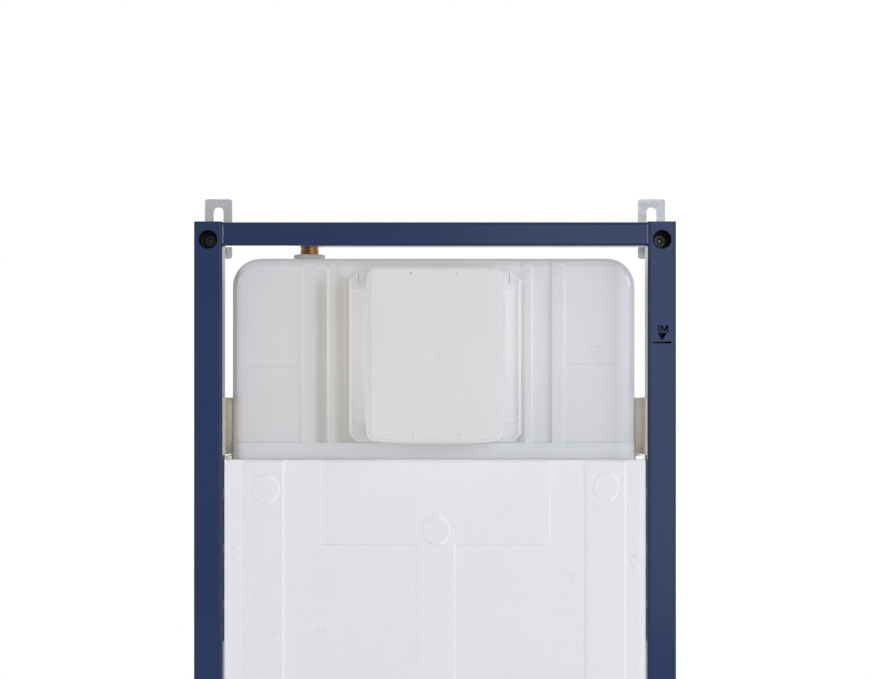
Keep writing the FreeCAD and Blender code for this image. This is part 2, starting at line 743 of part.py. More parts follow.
cover_loft("PartDesign::AdditiveLoft",
           cover_section(COLLAR_PANEL, "0", "cover_base_flare", "cover_side_bulge"),
           cover_section("cover_front", "0", "0", "cover_front_bulge"))
half_depth = number(f"({COLLAR_PANEL} - cover_front) / 2")


def runs_back(edge):
    depths = [vertex.Y for vertex in edge.Vertexes]
    return max(depths) - min(depths) > half_depth


fillet(cover, runs_back, "cover_corner")
fillet(cover, at_depth("cover_front"), "cover_edge")
cover_loft("PartDesign::SubtractiveLoft",
           cover_section(COLLAR_PANEL, "cover_wall", "cover_base_flare", "cover_side_bulge"),
           cover_section("cover_front + cover_wall", "cover_wall", "0", "cover_front_bulge"))


def inside_cap(edge):
    nearest = min(vertex.Y for vertex in edge.Vertexes)
    return runs_back(edge) and abs(nearest - number("cover_front + cover_wall")) < TOLERANCE


fillet(cover, inside_cap, "cover_corner - cover_wall")

# Water inlet: a brass threaded nipple with its flange inside the cistern and a plastic collar on top.


def turned(label, profile):
    """A body of revolution on the inlet's upright axis, from radius and height pairs."""
    body = body_named(label, INLET_X)
    half = sketch_on(body, "XZ", "inlet_depth")
    polygon(half, profile)
    feature = body.newObject("PartDesign::Revolution", f"{label}_turned")
    feature.Profile = half
    feature.ReferenceAxis = (half, ["V_Axis"])
    feature.Angle = 360
    doc.recompute()


WALL_UNDER = f"{TANK_TOP} - tank_wall"
NUT_TOP = f"{TANK_TOP} + inlet_collar_height"
INLET_TOP = f"{TANK_TOP} + inlet_rise"
turned("inlet_nipple", [
    ("inlet_bore", f"{WALL_UNDER} - inlet_flange_height"),
    ("inlet_flange_radius", f"{WALL_UNDER} - inlet_flange_height"),
    ("inlet_flange_radius", WALL_UNDER), ("inlet_radius - inlet_relief", WALL_UNDER),
    ("inlet_radius - inlet_relief", NUT_TOP), ("inlet_radius", NUT_TOP),
    ("inlet_radius", INLET_TOP), ("inlet_bore", INLET_TOP),
])
turned("inlet_collar", [
    ("inlet_radius + inlet_clearance", TANK_TOP), ("inlet_collar_radius", TANK_TOP),
    ("inlet_collar_radius", f"{NUT_TOP} - inlet_collar_step"),
    ("inlet_collar_radius - inlet_collar_step", f"{NUT_TOP} - inlet_collar_step"),
    ("inlet_collar_radius - inlet_collar_step", NUT_TOP), ("inlet_radius + inlet_clearance", NUT_TOP),
])

# Strap: a bent steel strip that runs from post to post round the back of the cistern.
strap = body_named("rear_strap")
outline = sketch_on(strap, "XY", f"{FOAM_SIDE_TOP} + strap_gap")
STRAP_FRONT = "tank_back + strap_clearance"
STRAP_BACK = f"{STRAP_FRONT} + strap_thickness"
strap_inner = f"{HALF_GAP} - strap_thickness"
polygon(outline, [
    (f"-{HALF_GAP}", "strap_start"), (f"-({strap_inner})", "strap_start"),
    (f"-({strap_inner})", STRAP_FRONT), (strap_inner, STRAP_FRONT),
    (strap_inner, "strap_start"), (HALF_GAP, "strap_start"),
    (HALF_GAP, STRAP_BACK), (f"-{HALF_GAP}", STRAP_BACK),
])
pad(strap, outline, "strap_height")


def strap_corner(depth):
    def test(edge):
        return along(AXIS_Z)(edge) and abs(edge.Vertexes[0].Y - number(depth)) < TOLERANCE
    return test


fillet(strap, strap_corner(STRAP_BACK), "strap_bend")
fillet(strap, strap_corner(STRAP_FRONT), "strap_bend - strap_thickness")

# Insulation: a foam panel in front of the cistern's lower half, with a T-shaped relief and mould marks,
# and a foam strip down each side.
foam = body_named("insulation_panel")
FOAM_HALF = f"({HALF_GAP} - foam_gap)"
FOAM_FACE = "(foam_front + foam_relief)"
BAR_BOTTOM = f"({FOAM_TOP} - foam_bar_height)"
outline = sketch_on(foam, "XZ", FOAM_FACE)
rectangle(outline, f"-{FOAM_HALF}", FOAM_BOTTOM, FOAM_HALF, FOAM_TOP)
pad(foam, outline, f"foam_back - {FOAM_FACE}", backwards=True)
relief = sketch_on(foam, "XZ", FOAM_FACE)
polygon(relief, [
    ("-foam_stem_width / 2", FOAM_BOTTOM), ("foam_stem_width / 2", FOAM_BOTTOM),
    ("foam_stem_width / 2", BAR_BOTTOM), ("foam_bar_width / 2", BAR_BOTTOM),
    ("foam_bar_width / 2", FOAM_TOP), ("-foam_bar_width / 2", FOAM_TOP),
    ("-foam_bar_width / 2", BAR_BOTTOM), ("-foam_stem_width / 2", BAR_BOTTOM),
])
strip_left = f"foam_strip_left_inset - {FOAM_HALF}"
strip_right = f"{FOAM_HALF} - foam_strip_right_inset"
rectangle(relief, strip_left, FOAM_BOTTOM, f"{strip_left} + foam_strip_width", FOAM_TOP)
rectangle(relief, f"{strip_right} - foam_strip_width", FOAM_BOTTOM, strip_right, FOAM_TOP)
pad(foam, relief, "foam_relief")
marks = [("0", "foam_eye_drop", "foam_eye_radius")]
for _, sign in SIDES:
    marks.append((f"{sign} * ({FOAM_HALF} - foam_disc_inset)", "foam_disc_drop", "foam_disc_radius"))
    marks.append((f"{sign} * ({FOAM_HALF} - foam_dot_inset)", "foam_dot_drop", "foam_dot_radius"))
for across, drop, radius in marks:
    mark = sketch_on(foam, "XZ", "foam_front")
    circle(mark, across, f"{FOAM_TOP} - {drop}", radius)
    pocket(foam, mark, "foam_relief + foam_mark_depth")

for side, sign in SIDES:
    strip = body_named(f"insulation_side_{side}")
    inner = f"({TANK_HALF} + foam_side_gap)"
    outline = sketch_on(strip, "XY", TANK_BOTTOM)
    left, right = (f"-{FOAM_HALF}", f"-{inner}") if sign < 0 else (inner, FOAM_HALF)
    rectangle(outline, left, "foam_back", right, "foam_side_back")
    pad(strip, outline, f"{FOAM_SIDE_TOP} - {TANK_BOTTOM}")

# Flush pipe: a bent tube from the cistern's outlet to the pan, with its coupling nut and grommet.


def elbow_pipe(front, depth, height, bend, end, radius, rising):
    """Solid pipe from its front end, round a quarter bend, to an upright run that ends at a height."""
    turn_y = f"{depth} - {bend}"
    turn_z = f"{height} + {bend}" if rising else f"{height} - {bend}"
    low, high = (turn_z, end) if rising else (end, turn_z)
    return [
        cylinder("y", "0", front, height, radius, f"{turn_y} - ({front})"),
        quarter_bend(turn_y, turn_z, bend, radius, rising),
        cylinder("z", "0", depth, low, radius, f"{high} - ({low})"),
    ]


def flush_solid(radius):
    top = f"{TANK_BOTTOM} + tank_wall"
    return fused(elbow_pipe("flush_front", FLUSH_DEPTH, "flush_height", "flush_bend", top, radius, rising=True))


flush = cut(flush_solid("flush_radius"), flush_solid("(flush_radius - flush_wall)"))
place(flush, "flush_pipe")
coupling_low = f"{TANK_BOTTOM} - coupling_height"
coupling = cut(cylinder("z", "0", FLUSH_DEPTH, coupling_low, "coupling_radius", "coupling_height"),
               cylinder("z", "0", FLUSH_DEPTH, coupling_low, "flush_radius + grommet_clearance",
                        "coupling_height"))
place(coupling, "flush_coupling")

grommet = cut(fused([
    cylinder("y", "0", "plate_setback", "flush_height", "grommet_radius - grommet_clearance", "grommet_length"),
    cylinder("y", "0", "plate_setback - grommet_lip", "flush_height", "grommet_radius + grommet_lip",
             "grommet_lip"),
]), cylinder("y", "0", "plate_setback - grommet_lip", "flush_height", "flush_radius + grommet_clearance",
             "grommet_length + grommet_lip"))
place(grommet, "flush_grommet")

# Pan fixing plate: pressed steel between the posts, its flanges turned back, with the pan's two studs.
plate = body_named("pan_fixing_plate")
outline = sketch_on(plate, "YZ", f"-{HALF_GAP}")
PLATE_REAR = "plate_setback + plate_flange"
polygon(outline, [
    ("plate_setback", PLATE_BOTTOM), (PLATE_REAR, PLATE_BOTTOM),
    (PLATE_REAR, f"{PLATE_BOTTOM} + plate_thickness"),
    (PLATE_BACK, f"{PLATE_BOTTOM} + plate_thickness"),
    (PLATE_BACK, f"{PLATE_TOP} - plate_thickness"),
    (PLATE_REAR, f"{PLATE_TOP} - plate_thickness"),
    (PLATE_REAR, PLATE_TOP), ("plate_setback", PLATE_TOP),
])
pad(plate, outline, f"2 * {HALF_GAP}")


def front_fold(edge):
    return along(AXIS_X)(edge) and abs(edge.Vertexes[0].Y - number("plate_setback")) < TOLERANCE


fillet(plate, front_fold, "plate_thickness")
holes = sketch_on(plate, "XZ", "plate_setback")
circle(holes, "0", "flush_height", "grommet_radius")
for _, sign in SIDES:
    for across in ("stud_spacing / 2", "(stud_spacing / 2 + spare_step)"):
        circle(holes, f"{sign} * {across}", STUD_HEIGHT, "stud_radius + stud_clearance")
pocket(plate, holes, "plate_thickness")

for side, sign in SIDES:
    middle = f"{sign} * stud_spacing / 2"
    nut_front = "plate_setback - stud_nut_length"
    thread_end = f"({nut_front} - stud_clearance)"
    stud = fused([
        cylinder("y", "0", "stud_front", STUD_HEIGHT, "stud_radius", f"{thread_end} - stud_front"),
        cylinder("y", "0", thread_end, STUD_HEIGHT, "stud_radius - stud_relief", f"stud_back - {thread_end}"),
    ])
    place(stud, f"stud_{side}", middle)
    nuts = []
    for start in (nut_front, PLATE_BACK):
        nuts.append(hexagon("y", "0", start, STUD_HEIGHT, "stud_nut_flats", "stud_nut_length"))
    shank = cylinder("y", "0", "stud_front", STUD_HEIGHT, "stud_radius", "stud_back - stud_front")
    place(cut(fused(nuts), shank), f"stud_nuts_{side}", middle)

# Soil bend: a plastic elbow with its socket at the front and its spigot down to the floor drain.


def soil_solid(pipe_radius, socket_radius, socket_length):
    run = elbow_pipe("socket_front", "soil_depth", SOIL_HEIGHT, "soil_bend", "soil_bottom", pipe_radius,
                     rising=False)
    return fused(run + [cylinder("y", "0", "socket_front", SOIL_HEIGHT, socket_radius, socket_length)])


socket_length = "soil_depth - soil_bend - socket_front"
soil = cut(soil_solid("soil_radius", SOCKET_RADIUS, f"{socket_length} + soil_wall"),
           soil_solid("(soil_radius - soil_wall)", SOCKET_BORE, socket_length))
place(soil, "soil_bend")

# Clip: a steel band round the soil socket, with a tab bolted to the front of the fixing plate.
band_start = "plate_setback - clip_width"
band_inner = f"({SOCKET_RADIUS} + clip_clearance)"
tab_height = f"flush_height - grommet_radius - grommet_lip - clip_gap - {SOIL_HEIGHT}"
clip = cut(fused([
    cylinder("y", "0", band_start, SOIL_HEIGHT, f"{band_inner} + clip_thickness", "clip_width"),
    box("-clip_tab_width / 2", "plate_setback - clip_thickness", SOIL_HEIGHT, "clip_tab_width", "clip_thickness",
        tab_height),
]), cylinder("y", "0", band_start, SOIL_HEIGHT, band_inner, "clip_width"))
place(clip, "soil_clip")

doc.recompute()
failed = [thing.Name for thing in doc.Objects if {"Invalid", "Error"} & set(thing.State)]
if failed:
    raise RuntimeError(f"failed objects: {failed}")
for thing in sub_parts:
    if thing.Shape.isNull() or not thing.Shape.isValid():
        raise RuntimeError(f"{thing.Label} has no valid shape")
os.makedirs("parts", exist_ok=True)
for thing in sub_parts:
    thing.Shape.exportStep(f"parts/{thing.Label}.step")
print(len(sub_parts), "sub-parts written")
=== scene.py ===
import math

import bmesh
import bpy
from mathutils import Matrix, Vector


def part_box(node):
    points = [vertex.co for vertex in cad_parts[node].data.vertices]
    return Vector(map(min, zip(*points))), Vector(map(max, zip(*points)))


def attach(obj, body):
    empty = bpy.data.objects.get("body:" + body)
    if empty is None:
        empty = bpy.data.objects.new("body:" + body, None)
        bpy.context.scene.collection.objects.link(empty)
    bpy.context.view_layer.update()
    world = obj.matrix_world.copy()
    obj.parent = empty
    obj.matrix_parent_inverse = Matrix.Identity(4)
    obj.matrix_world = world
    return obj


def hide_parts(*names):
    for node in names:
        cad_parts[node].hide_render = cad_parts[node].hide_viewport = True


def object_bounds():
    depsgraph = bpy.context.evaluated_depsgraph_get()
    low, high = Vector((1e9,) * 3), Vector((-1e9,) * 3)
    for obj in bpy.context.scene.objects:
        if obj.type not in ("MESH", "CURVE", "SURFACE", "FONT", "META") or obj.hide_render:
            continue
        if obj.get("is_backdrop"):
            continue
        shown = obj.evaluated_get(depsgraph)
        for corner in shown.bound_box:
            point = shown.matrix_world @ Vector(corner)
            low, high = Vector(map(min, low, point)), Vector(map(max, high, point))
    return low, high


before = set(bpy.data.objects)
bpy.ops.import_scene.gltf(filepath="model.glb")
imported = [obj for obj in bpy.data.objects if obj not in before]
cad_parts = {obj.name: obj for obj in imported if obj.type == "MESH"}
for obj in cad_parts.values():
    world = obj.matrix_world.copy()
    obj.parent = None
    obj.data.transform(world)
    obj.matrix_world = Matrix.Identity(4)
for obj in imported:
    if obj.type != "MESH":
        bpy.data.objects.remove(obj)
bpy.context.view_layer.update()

# Steel frame: two rectangular tube posts with their caps, the top rail and the pan fixing plate.
# Welded mild steel, sprayed with navy powder and baked, which leaves a fine orange peel.
SIDES = (("left", -1), ("right", 1))
WELD_X, WELD_RADIUS, WELD_SWELL, WELD_PITCH = 0.2246, 0.0013, 0.00025, 0.0009


def shade(red, green, blue):
    """A colour as it is seen on a screen, 0 to 255, as linear light."""
    def linear(value):
        part = value / 255
        return part / 12.92 if part <= 0.04045 else ((part + 0.055) / 1.055) ** 2.4
    return (linear(red), linear(green), linear(blue), 1)


def new_effect(name, outputs, **inputs):
    """An empty node group with its sockets, for an effect that several finishes share."""
    tree = bpy.data.node_groups.new(name, "ShaderNodeTree")
    for label, value in inputs.items():
        kind = "NodeSocketColor" if isinstance(value, tuple) else "NodeSocketFloat"
        tree.interface.new_socket(label, in_out="INPUT", socket_type=kind).default_value = value
    for label, kind in outputs.items():
        tree.interface.new_socket(label, in_out="OUTPUT", socket_type="NodeSocket" + kind)
    return tree, tree.nodes.new("NodeGroupInput").outputs, tree.nodes.new("NodeGroupOutput").inputs


def noise_of(tree, size, detail, roughness=0.5):
    """Noise on the object's own coordinates, with blobs of about the size that a socket gives."""
    place = tree.nodes.new("ShaderNodeTexCoord")
    scale = tree.nodes.new("ShaderNodeMath")
    scale.operation = "DIVIDE"
    scale.inputs[0].default_value = 1
    noise = tree.nodes.new("ShaderNodeTexNoise")
    noise.inputs["Detail"].default_value = detail
    noise.inputs["Roughness"].default_value = roughness
    tree.links.new(size, scale.inputs[1])
    tree.links.new(scale.outputs[0], noise.inputs["Scale"])
    tree.links.new(place.outputs["Object"], noise.inputs["Vector"])
    return noise.outputs["Fac"]


def spread(tree, value, low, high, from_low=0.0, from_high=1.0):
    """Stretch a value to a new range."""
    ranged = tree.nodes.new("ShaderNodeMapRange")
    ranged.inputs["From Min"].default_value = from_low
    ranged.inputs["From Max"].default_value = from_high
    ranged.inputs["To Min"].default_value = low
    ranged.inputs["To Max"].default_value = high
    tree.links.new(value, ranged.inputs["Value"])
    return ranged.outputs["Result"]


def blend(tree, amount, first, second, mode="MIX"):
    """Mix two colours by an amount, each of them a socket or a value."""
    mix = tree.nodes.new("ShaderNodeMix")
    mix.data_type = "RGBA"
    mix.blend_type = mode
    for value, label in ((amount, "Factor"), (first, "A"), (second, "B")):
        if isinstance(value, bpy.types.NodeSocket):
            tree.links.new(value, mix.inputs[label])
        else:
            mix.inputs[label].default_value = value
    return mix.outputs["Result"]


def joined(tree, first, second, operation="MULTIPLY"):
    """Multiply two values, or join them by another operation."""
    times = tree.nodes.new("ShaderNodeMath")
    times.operation = operation
    tree.links.new(first, times.inputs[0])
    tree.links.new(second, times.inputs[1])
    return times.outputs[0]


drift, taken, given = new_effect("tone_drift", {"Colour": "Color", "Amount": "Float"},
                                 Dark=(0.2, 0.2, 0.2, 1), Light=(0.3, 0.3, 0.3, 1), Size=0.05)
clouds = spread(drift, noise_of(drift, taken["Size"], 5), 0, 1, 0.3, 0.7)
drift.links.new(clouds, given["Amount"])
drift.links.new(blend(drift, clouds, taken["Dark"], taken["Light"]), given["Colour"])

grain, taken, given = new_effect("surface_grain", {"Normal": "Vector"}, Size=0.002, Height=0.0001)
bump = grain.nodes.new("ShaderNodeBump")
grain.links.new(noise_of(grain, taken["Size"], 3), bump.inputs["Height"])
grain.links.new(taken["Height"], bump.inputs["Distance"])
grain.links.new(bump.outputs["Normal"], given["Normal"])

dust, taken, given = new_effect("settled_dust", {"Colour": "Color"}, Colour=(0.2, 0.2, 0.2, 1),
                                Dust=(0.5, 0.48, 0.45, 1), Amount=0.3, Size=0.02)
facing = dust.nodes.new("ShaderNodeSeparateXYZ")
dust.links.new(dust.nodes.new("ShaderNodeNewGeometry").outputs["Normal"], facing.inputs[0])
upward = spread(dust, facing.outputs["Z"], 0, 1, 0.55, 1.0)
patches = spread(dust, noise_of(dust, taken["Size"], 6, 0.7), 0.35, 1, 0.3, 0.65)
layer = joined(dust, joined(dust, upward, patches), taken["Amount"])
dust.links.new(blend(dust, layer, taken["Colour"], taken["Dust"]), given["Colour"])


def add_effect(material, tree, **values):
    """Place a shared effect in a finish, with this finish's own values."""
    node = material.node_tree.nodes.new("ShaderNodeGroup")
    node.node_tree = tree
    for label, value in values.items():
        socket = node.inputs[label.capitalize()]
        if isinstance(value, bpy.types.NodeSocket):
            material.node_tree.links.new(value, socket)
        else:
            socket.default_value = value
    return node.outputs


def inputs_of(material):
    """The sockets of a finish's shader."""
    return material.node_tree.nodes["Principled BSDF"].inputs


def new_finish(name, dark, light, size, rough, metallic=0.0, specular=0.5, dusty=0.0, grain_size=0.002,
               grain_height=0.00002):
    """A finish whose tone and gloss drift over the surface, with a fine grain and dust on what faces up."""
    material = bpy.data.materials.new(name)
    material.use_nodes = True
    tree = material.node_tree
    inputs = inputs_of(material)
    inputs["Metallic"].default_value = metallic
    inputs["Specular IOR Level"].default_value = specular
    tone = add_effect(material, drift, dark=shade(*dark), light=shade(*light), size=size)
    colour = tone["Colour"]
    if dusty:
        colour = add_effect(material, dust, colour=colour, amount=dusty, dust=shade(188, 184, 176))["Colour"]
    tree.links.new(colour, inputs["Base Color"])
    tree.links.new(spread(tree, tone["Amount"], *rough), inputs["Roughness"])
    normal = add_effect(material, grain, size=grain_size, height=grain_height)["Normal"]
    tree.links.new(normal, inputs["Normal"])
    return material


def dress(material, *nodes):
    """Give CAD nodes a finish."""
    for node in nodes:
        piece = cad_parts[node]
        piece.data.materials.clear()
        piece.data.materials.append(material)


def empty_hand():
    """Leave edit mode and let go of every piece."""
    if bpy.context.object and bpy.context.object.mode == "EDIT":
        bpy.ops.object.mode_set(mode="OBJECT")
    bpy.ops.object.select_all(action="DESELECT")


def finish_piece(piece, material, body, slot, *nodes, angle=35):
    """Leave edit mode, smooth, coat the piece and fix it to its body."""
    empty_hand()
    piece.select_set(True)
    bpy.context.view_layer.objects.active = piece
    bpy.ops.object.shade_smooth_by_angle(angle=math.radians(angle))
    piece.data.materials.clear()
    piece.data.materials.append(material)
    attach(piece, body)
    if nodes:
        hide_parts(*nodes)
    return piece


def take(name):
    """Name the piece just added, apply its place and open it in edit mode."""
    piece = bpy.context.object
    piece.name = piece.data.name = name
    bpy.ops.object.transform_apply(location=True, rotation=True, scale=True)
    bpy.ops.object.mode_set(mode="EDIT")
    return piece


def turned(name, outline, centre, axis, steps=32):
    """A turned piece: half its outline, as radius and height pairs, drawn point by point and spun."""
    along = Vector(axis)
    across = Vector((0, 0, 1)) if abs(along.x) > 0.5 else Vector((1, 0, 0))
    points = [Vector(centre) + across * radius + along * height for radius, height in outline]
    empty_hand()
    bpy.ops.mesh.primitive_plane_add(size=0.002, location=points[0])
    piece = take(name)
    bpy.ops.mesh.select_mode(type="VERT")
    bpy.ops.mesh.select_all(action="SELECT")
    bpy.ops.mesh.merge(type="CENTER")
    for start, end in zip(points, points[1:]):
        bpy.ops.mesh.extrude_region_move(TRANSFORM_OT_translate={"value": end - start})
    bpy.ops.mesh.select_all(action="SELECT")
    bpy.ops.mesh.spin(steps=steps, angle=math.tau, center=centre, axis=along)
    bpy.ops.mesh.select_all(action="SELECT")
    bpy.ops.mesh.remove_doubles(threshold=1e-6)
    bpy.ops.mesh.normals_make_consistent(inside=False)
    return piece


navy = new_finish("navy_powder_coat", (41, 55, 90), (44, 58, 94), 0.16, (0.15, 0.20), specular=0.10,
                  dusty=0.2, grain_size=0.0016, grain_height=0.00002)
dress(navy, "post_left", "post_right", "post_cap_left", "post_cap_right", "top_rail", "pan_fixing_plate")


def weld_ripples(length):
    """Outline of a weld bead along its length, fuller and thinner at each drop of the torch."""
    steps = round(length / WELD_PITCH)
    swell = [(WELD_RADIUS + WELD_SWELL * (step % 2), WELD_PITCH * step) for step in range(1, steps)]
    return [(0, 0)] + swell + [(0, WELD_PITCH * steps)]


weld_navy = new_finish("navy_over_weld", (42, 57, 92), (52, 66, 102), 0.004, (0.12, 0.18), specular=0.6)
for bar in ("top_rail", "pan_fixing_plate"):
    low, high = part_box(bar)
    for side, sign in SIDES:
        bead = turned(f"weld_{bar}_{side}", weld_ripples(high.z - low.z - 0.003),
                      (sign * WELD_X, low.y + 0.0001, low.z + 0.0015), (0, 0, 1), 12)
        finish_piece(bead, weld_navy, "frame", "frame_paint", angle=60)

# Wall anchors: pressed brackets with an upright slot and a lock nut, on black threaded rods that turn in nuts
# welded to the posts, each rod in a rubber guide. Zinc plated mild steel, dull and slightly mottled.
M12_FLATS, M12_BORE, M12_PITCH = 0.019, 0.0058, 0.00175
SOCKET_FLATS = 0.006
DIMPLE_X, DIMPLE_Z = 0.2306, 1.1018
PAINTED_LIGHT_LOW, PAINTED_LIGHT_HIGH = 1.110, 1.124
zinc = new_finish("zinc_plate", (153, 153, 155), (161, 161, 164), 0.006, (0.34, 0.5), metallic=0.85,
                  grain_size=0.0008, grain_height=0.00001)
dress(zinc, "leg_left", "leg_right", "foot_plate_left", "foot_plate_right", "soil_clip")


def place_in(tree):
    """The object's own coordinates, as X, Y and Z sockets."""
    split = tree.nodes.new("ShaderNodeSeparateXYZ")
    tree.links.new(tree.nodes.new("ShaderNodeTexCoord").outputs["Object"], split.inputs[0])
    return split.outputs


# Painted light: below the rail the brackets are painted a pale, less metallic white, where they would show
# dark.
# Painted shade: the right bracket is painted a little darker, against the stronger light on its side.
bracket_zinc_painted_light = zinc.copy()
bracket_zinc_painted_light.name = "zinc_plate_painted_light"
bracket_tree = bracket_zinc_painted_light.node_tree
bracket_inputs = inputs_of(bracket_zinc_painted_light)
bracket_place = place_in(bracket_tree)
darker = spread(bracket_tree, bracket_place["X"], 0, 0.12, 0, 0.1)
plated = blend(bracket_tree, darker, bracket_inputs["Base Color"].links[0].from_socket, (0, 0, 0, 1))
light_mask = spread(bracket_tree, bracket_place["Z"], 1, 0, PAINTED_LIGHT_LOW, PAINTED_LIGHT_HIGH)
lit_plating = blend(bracket_tree, light_mask, plated, shade(222, 224, 225))
bracket_tree.links.new(lit_plating, bracket_inputs["Base Color"])
metal = spread(bracket_tree, bracket_place["Z"], 0.1, 0.85, PAINTED_LIGHT_LOW, PAINTED_LIGHT_HIGH)
bracket_tree.links.new(metal, bracket_inputs["Metallic"])
dress(bracket_zinc_painted_light, "wall_bracket_left", "wall_bracket_right")
black_oxide = new_finish("black_oxide", (26, 26, 28), (40, 40, 42), 0.01, (0.35, 0.5), metallic=0.6)
worn_oxide = new_finish("worn_oxide", (30, 30, 31), (40, 40, 41), 0.004, (0.14, 0.22), metallic=1.0)
bare_steel = new_finish("bare_steel", (72, 72, 73), (86, 86, 87), 0.004, (0.12, 0.2), metallic=1.0)
rubber = new_finish("rubber", (34, 34, 35), (44, 44, 45), 0.01, (0.6, 0.75), specular=0.3)


def thread(start, end, radius, pitch):
    """Outline of a thread along its length, as radius and height pairs."""
    turns = int((end - start) / pitch)
    crests = [(radius, start + turn * pitch) for turn in range(turns + 1)]
    roots = [(radius - 0.55 * pitch, start + (turn + 0.5) * pitch) for turn in range(turns)]
    return sorted(crests + roots, key=lambda point: point[1])


def carve(piece, cutter, operation="DIFFERENCE"):
    """Cut one piece with another, which is used up."""
    empty_hand()
    bpy.context.view_layer.objects.active = piece
    piece.select_set(True)
    modifier = piece.modifiers.new("carve", "BOOLEAN")
    modifier.operation = operation
    modifier.object = cutter
    bpy.ops.object.modifier_apply(modifier=modifier.name)
    bpy.data.objects.remove(cutter)
    return piece


def hexagon(centre, axis, flats, height):
    """A six-sided bar, to cut with."""
    empty_hand()
    turn = Vector((0, 0, 1)).rotation_difference(Vector(axis)).to_euler()
    bpy.ops.mesh.primitive_cylinder_add(vertices=6, radius=flats / math.sqrt(3), depth=height,
                                        location=centre, rotation=turn)
    bpy.ops.object.transform_apply(location=True, rotation=True, scale=True)
    return bpy.context.object


def hex_nut(name, centre, axis, flats, height, bore):
    """A nut, or with no bore a bolt head: a ring chamfered at both faces, cut to six sides."""
    face, corner, half = 0.48 * flats, 0.60 * flats, height / 2
    slope = 0.07 * flats
    ring = [(bore, -half), (face, -half), (corner, slope - half), (corner, half - slope), (face, half),
            (bore, half)]
    nut = turned(name, ring + ring[:1] if bore else ring, centre, axis, 48)
    return carve(nut, hexagon(centre, axis, flats, height + 0.004), "INTERSECT")


def nut_at(node, axis, flats, bore):
    """A nut in the place of a CAD node."""
    low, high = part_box(node)
    span = (high - low).dot(Vector(axis))
    return hex_nut(node + "_hex", (low + high) / 2, axis, flats, abs(span), bore)


def pick(kind, test):
    """Select the verts, edges or faces of the piece in hand that pass a test, and nothing else."""
    bpy.ops.mesh.select_mode(type={"verts": "VERT", "edges": "EDGE", "faces": "FACE"}[kind])
    bpy.ops.mesh.select_all(action="DESELECT")
    work = bmesh.from_edit_mesh(bpy.context.object.data)
    for element in getattr(work, kind):
        if test(element):
            element.select_set(True)
    bmesh.update_edit_mesh(bpy.context.object.data)


def middle(element):
    return sum((corner.co for corner in element.verts), Vector()) / len(element.verts)


def from_axis(face, x, z):
    """How far a face lies from an axis that runs front to back."""
    return math.hypot(middle(face).x - x, middle(face).z - z)


def coat_faces(piece, material, test):
    """Give the faces of a piece that pass a test a finish of their own."""
    bpy.ops.object.mode_set(mode="EDIT")
    piece.data.materials.append(material)
    piece.active_material_index = len(piece.data.materials) - 1
    pick("faces", test)
    bpy.ops.object.material_slot_assign()
    bpy.ops.object.mode_set(mode="OBJECT")


for side, sign in SIDES:
    anchor = "wall_anchor_" + side
    low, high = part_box("adjusting_rod_" + side)
    centre = (low + high) / 2
    radius = (high.x - low.x) / 2
    rod_outline = [(0, low.y), (0.0047, low.y), (0.0056, low.y)]
    rod_outline += thread(low.y + 0.0008, high.y - 0.0012, radius, M12_PITCH)
    rod_outline += [(0.0045, high.y), (0, high.y)]
    rod = turned("threaded_rod_" + side, rod_outline, (centre.x, 0, centre.z), (0, 1, 0), 24)
    carve(rod, hexagon((centre.x, low.y - 0.001, centre.z), (0, 1, 0), SOCKET_FLATS, 0.010))
    finish_piece(rod, black_oxide, anchor, "rod_steel", "adjusting_rod_" + side)
    coat_faces(rod, worn_oxide, lambda face: face.normal.y < -0.9 and middle(face).y < low.y + 0.0005
               and from_axis(face, centre.x, centre.z) > 0.0046)
    pip_outline = [(0, 0.0022), (0.0010, 0.0023), (0.0013, 0.0030), (0.0013, 0.0042), (0, 0.0042)]
    pip = turned("rod_centre_" + side, pip_outline, (centre.x, low.y, centre.z), (0, 1, 0), 16)
    finish_piece(pip, bare_steel, anchor, "rod_steel")
    guide_outline = [(0.0122, -0.0674), (0.0122, -0.0326), (0.0068, -0.0326), (0.0068, -0.0336),
                     (0.0106, -0.0340), (0.0106, -0.0660), (0.0110, -0.0674), (0.0122, -0.0674)]
    guide = turned("rod_guide_" + side, guide_outline, (centre.x, 0, centre.z), (0, 1, 0), 40)
    finish_piece(guide, rubber, "frame", "rubber")
    for nut, body in (("rod_nut_" + side, "frame"), ("bracket_nut_" + side, anchor)):
        finish_piece(nut_at(nut, (0, 1, 0), M12_FLATS, M12_BORE), zinc, body, "zinc_steel", nut)
    dimple_outline = [(0.0008, 0), (0.0011, -0.0004), (0.0017, -0.0006), (0.0023, -0.0004), (0.0026, 0)]
    bracket_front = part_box("wall_bracket_" + side)[0].y
    dimple = turned("bracket_dimple_" + side, dimple_outline, (sign * DIMPLE_X, bracket_front, DIMPLE_Z),
                    (0, 1, 0), 20)
    finish_piece(dimple, bracket_zinc_painted_light, anchor, "zinc_steel", angle=60)

# Cistern: a blow-moulded shell of translucent white plastic, hung between the posts. Two pairs of ribs, a
# ledge and a sunk field for the collar are moulded in its front, six sunk fields stiffen its back, and the
# mould's parting line runs round its middle.
TANK_LEFT, TANK_RIGHT = -0.217, 0.2142
TANK_LOW, TANK_HIGH = 0.680, 1.091
TANK_FRONT, TANK_BACK = -0.038, 0.039
CORNER_ROUND, EDGE_ROUND = 0.030, 0.009
SEAM_HALF, SEAM_RISE = 0.0007, 0.0005
BACK_COLUMNS = ((-0.190, -0.072), (-0.054, 0.054), (0.072, 0.190))
BACK_ROWS = ((0.708, 0.866), (0.957, 1.062))
BACK_SINK = 0.0035
RIBS = ((-0.1430, -0.1225), (-0.1150, -0.1020), (0.0912, 0.1048), (0.1228, 0.1396))
RIB_LEANS = (-0.0036, -0.0034, 0.0034, 0.0004)
RIB_RISE, RIB_DRAFT = 0.0045, 0.0018
RIB_FADE, RELIEF_HIGH = 1.062, 1.0812
LEDGE_LOW, LEDGE_HIGH = 0.8745, 0.894
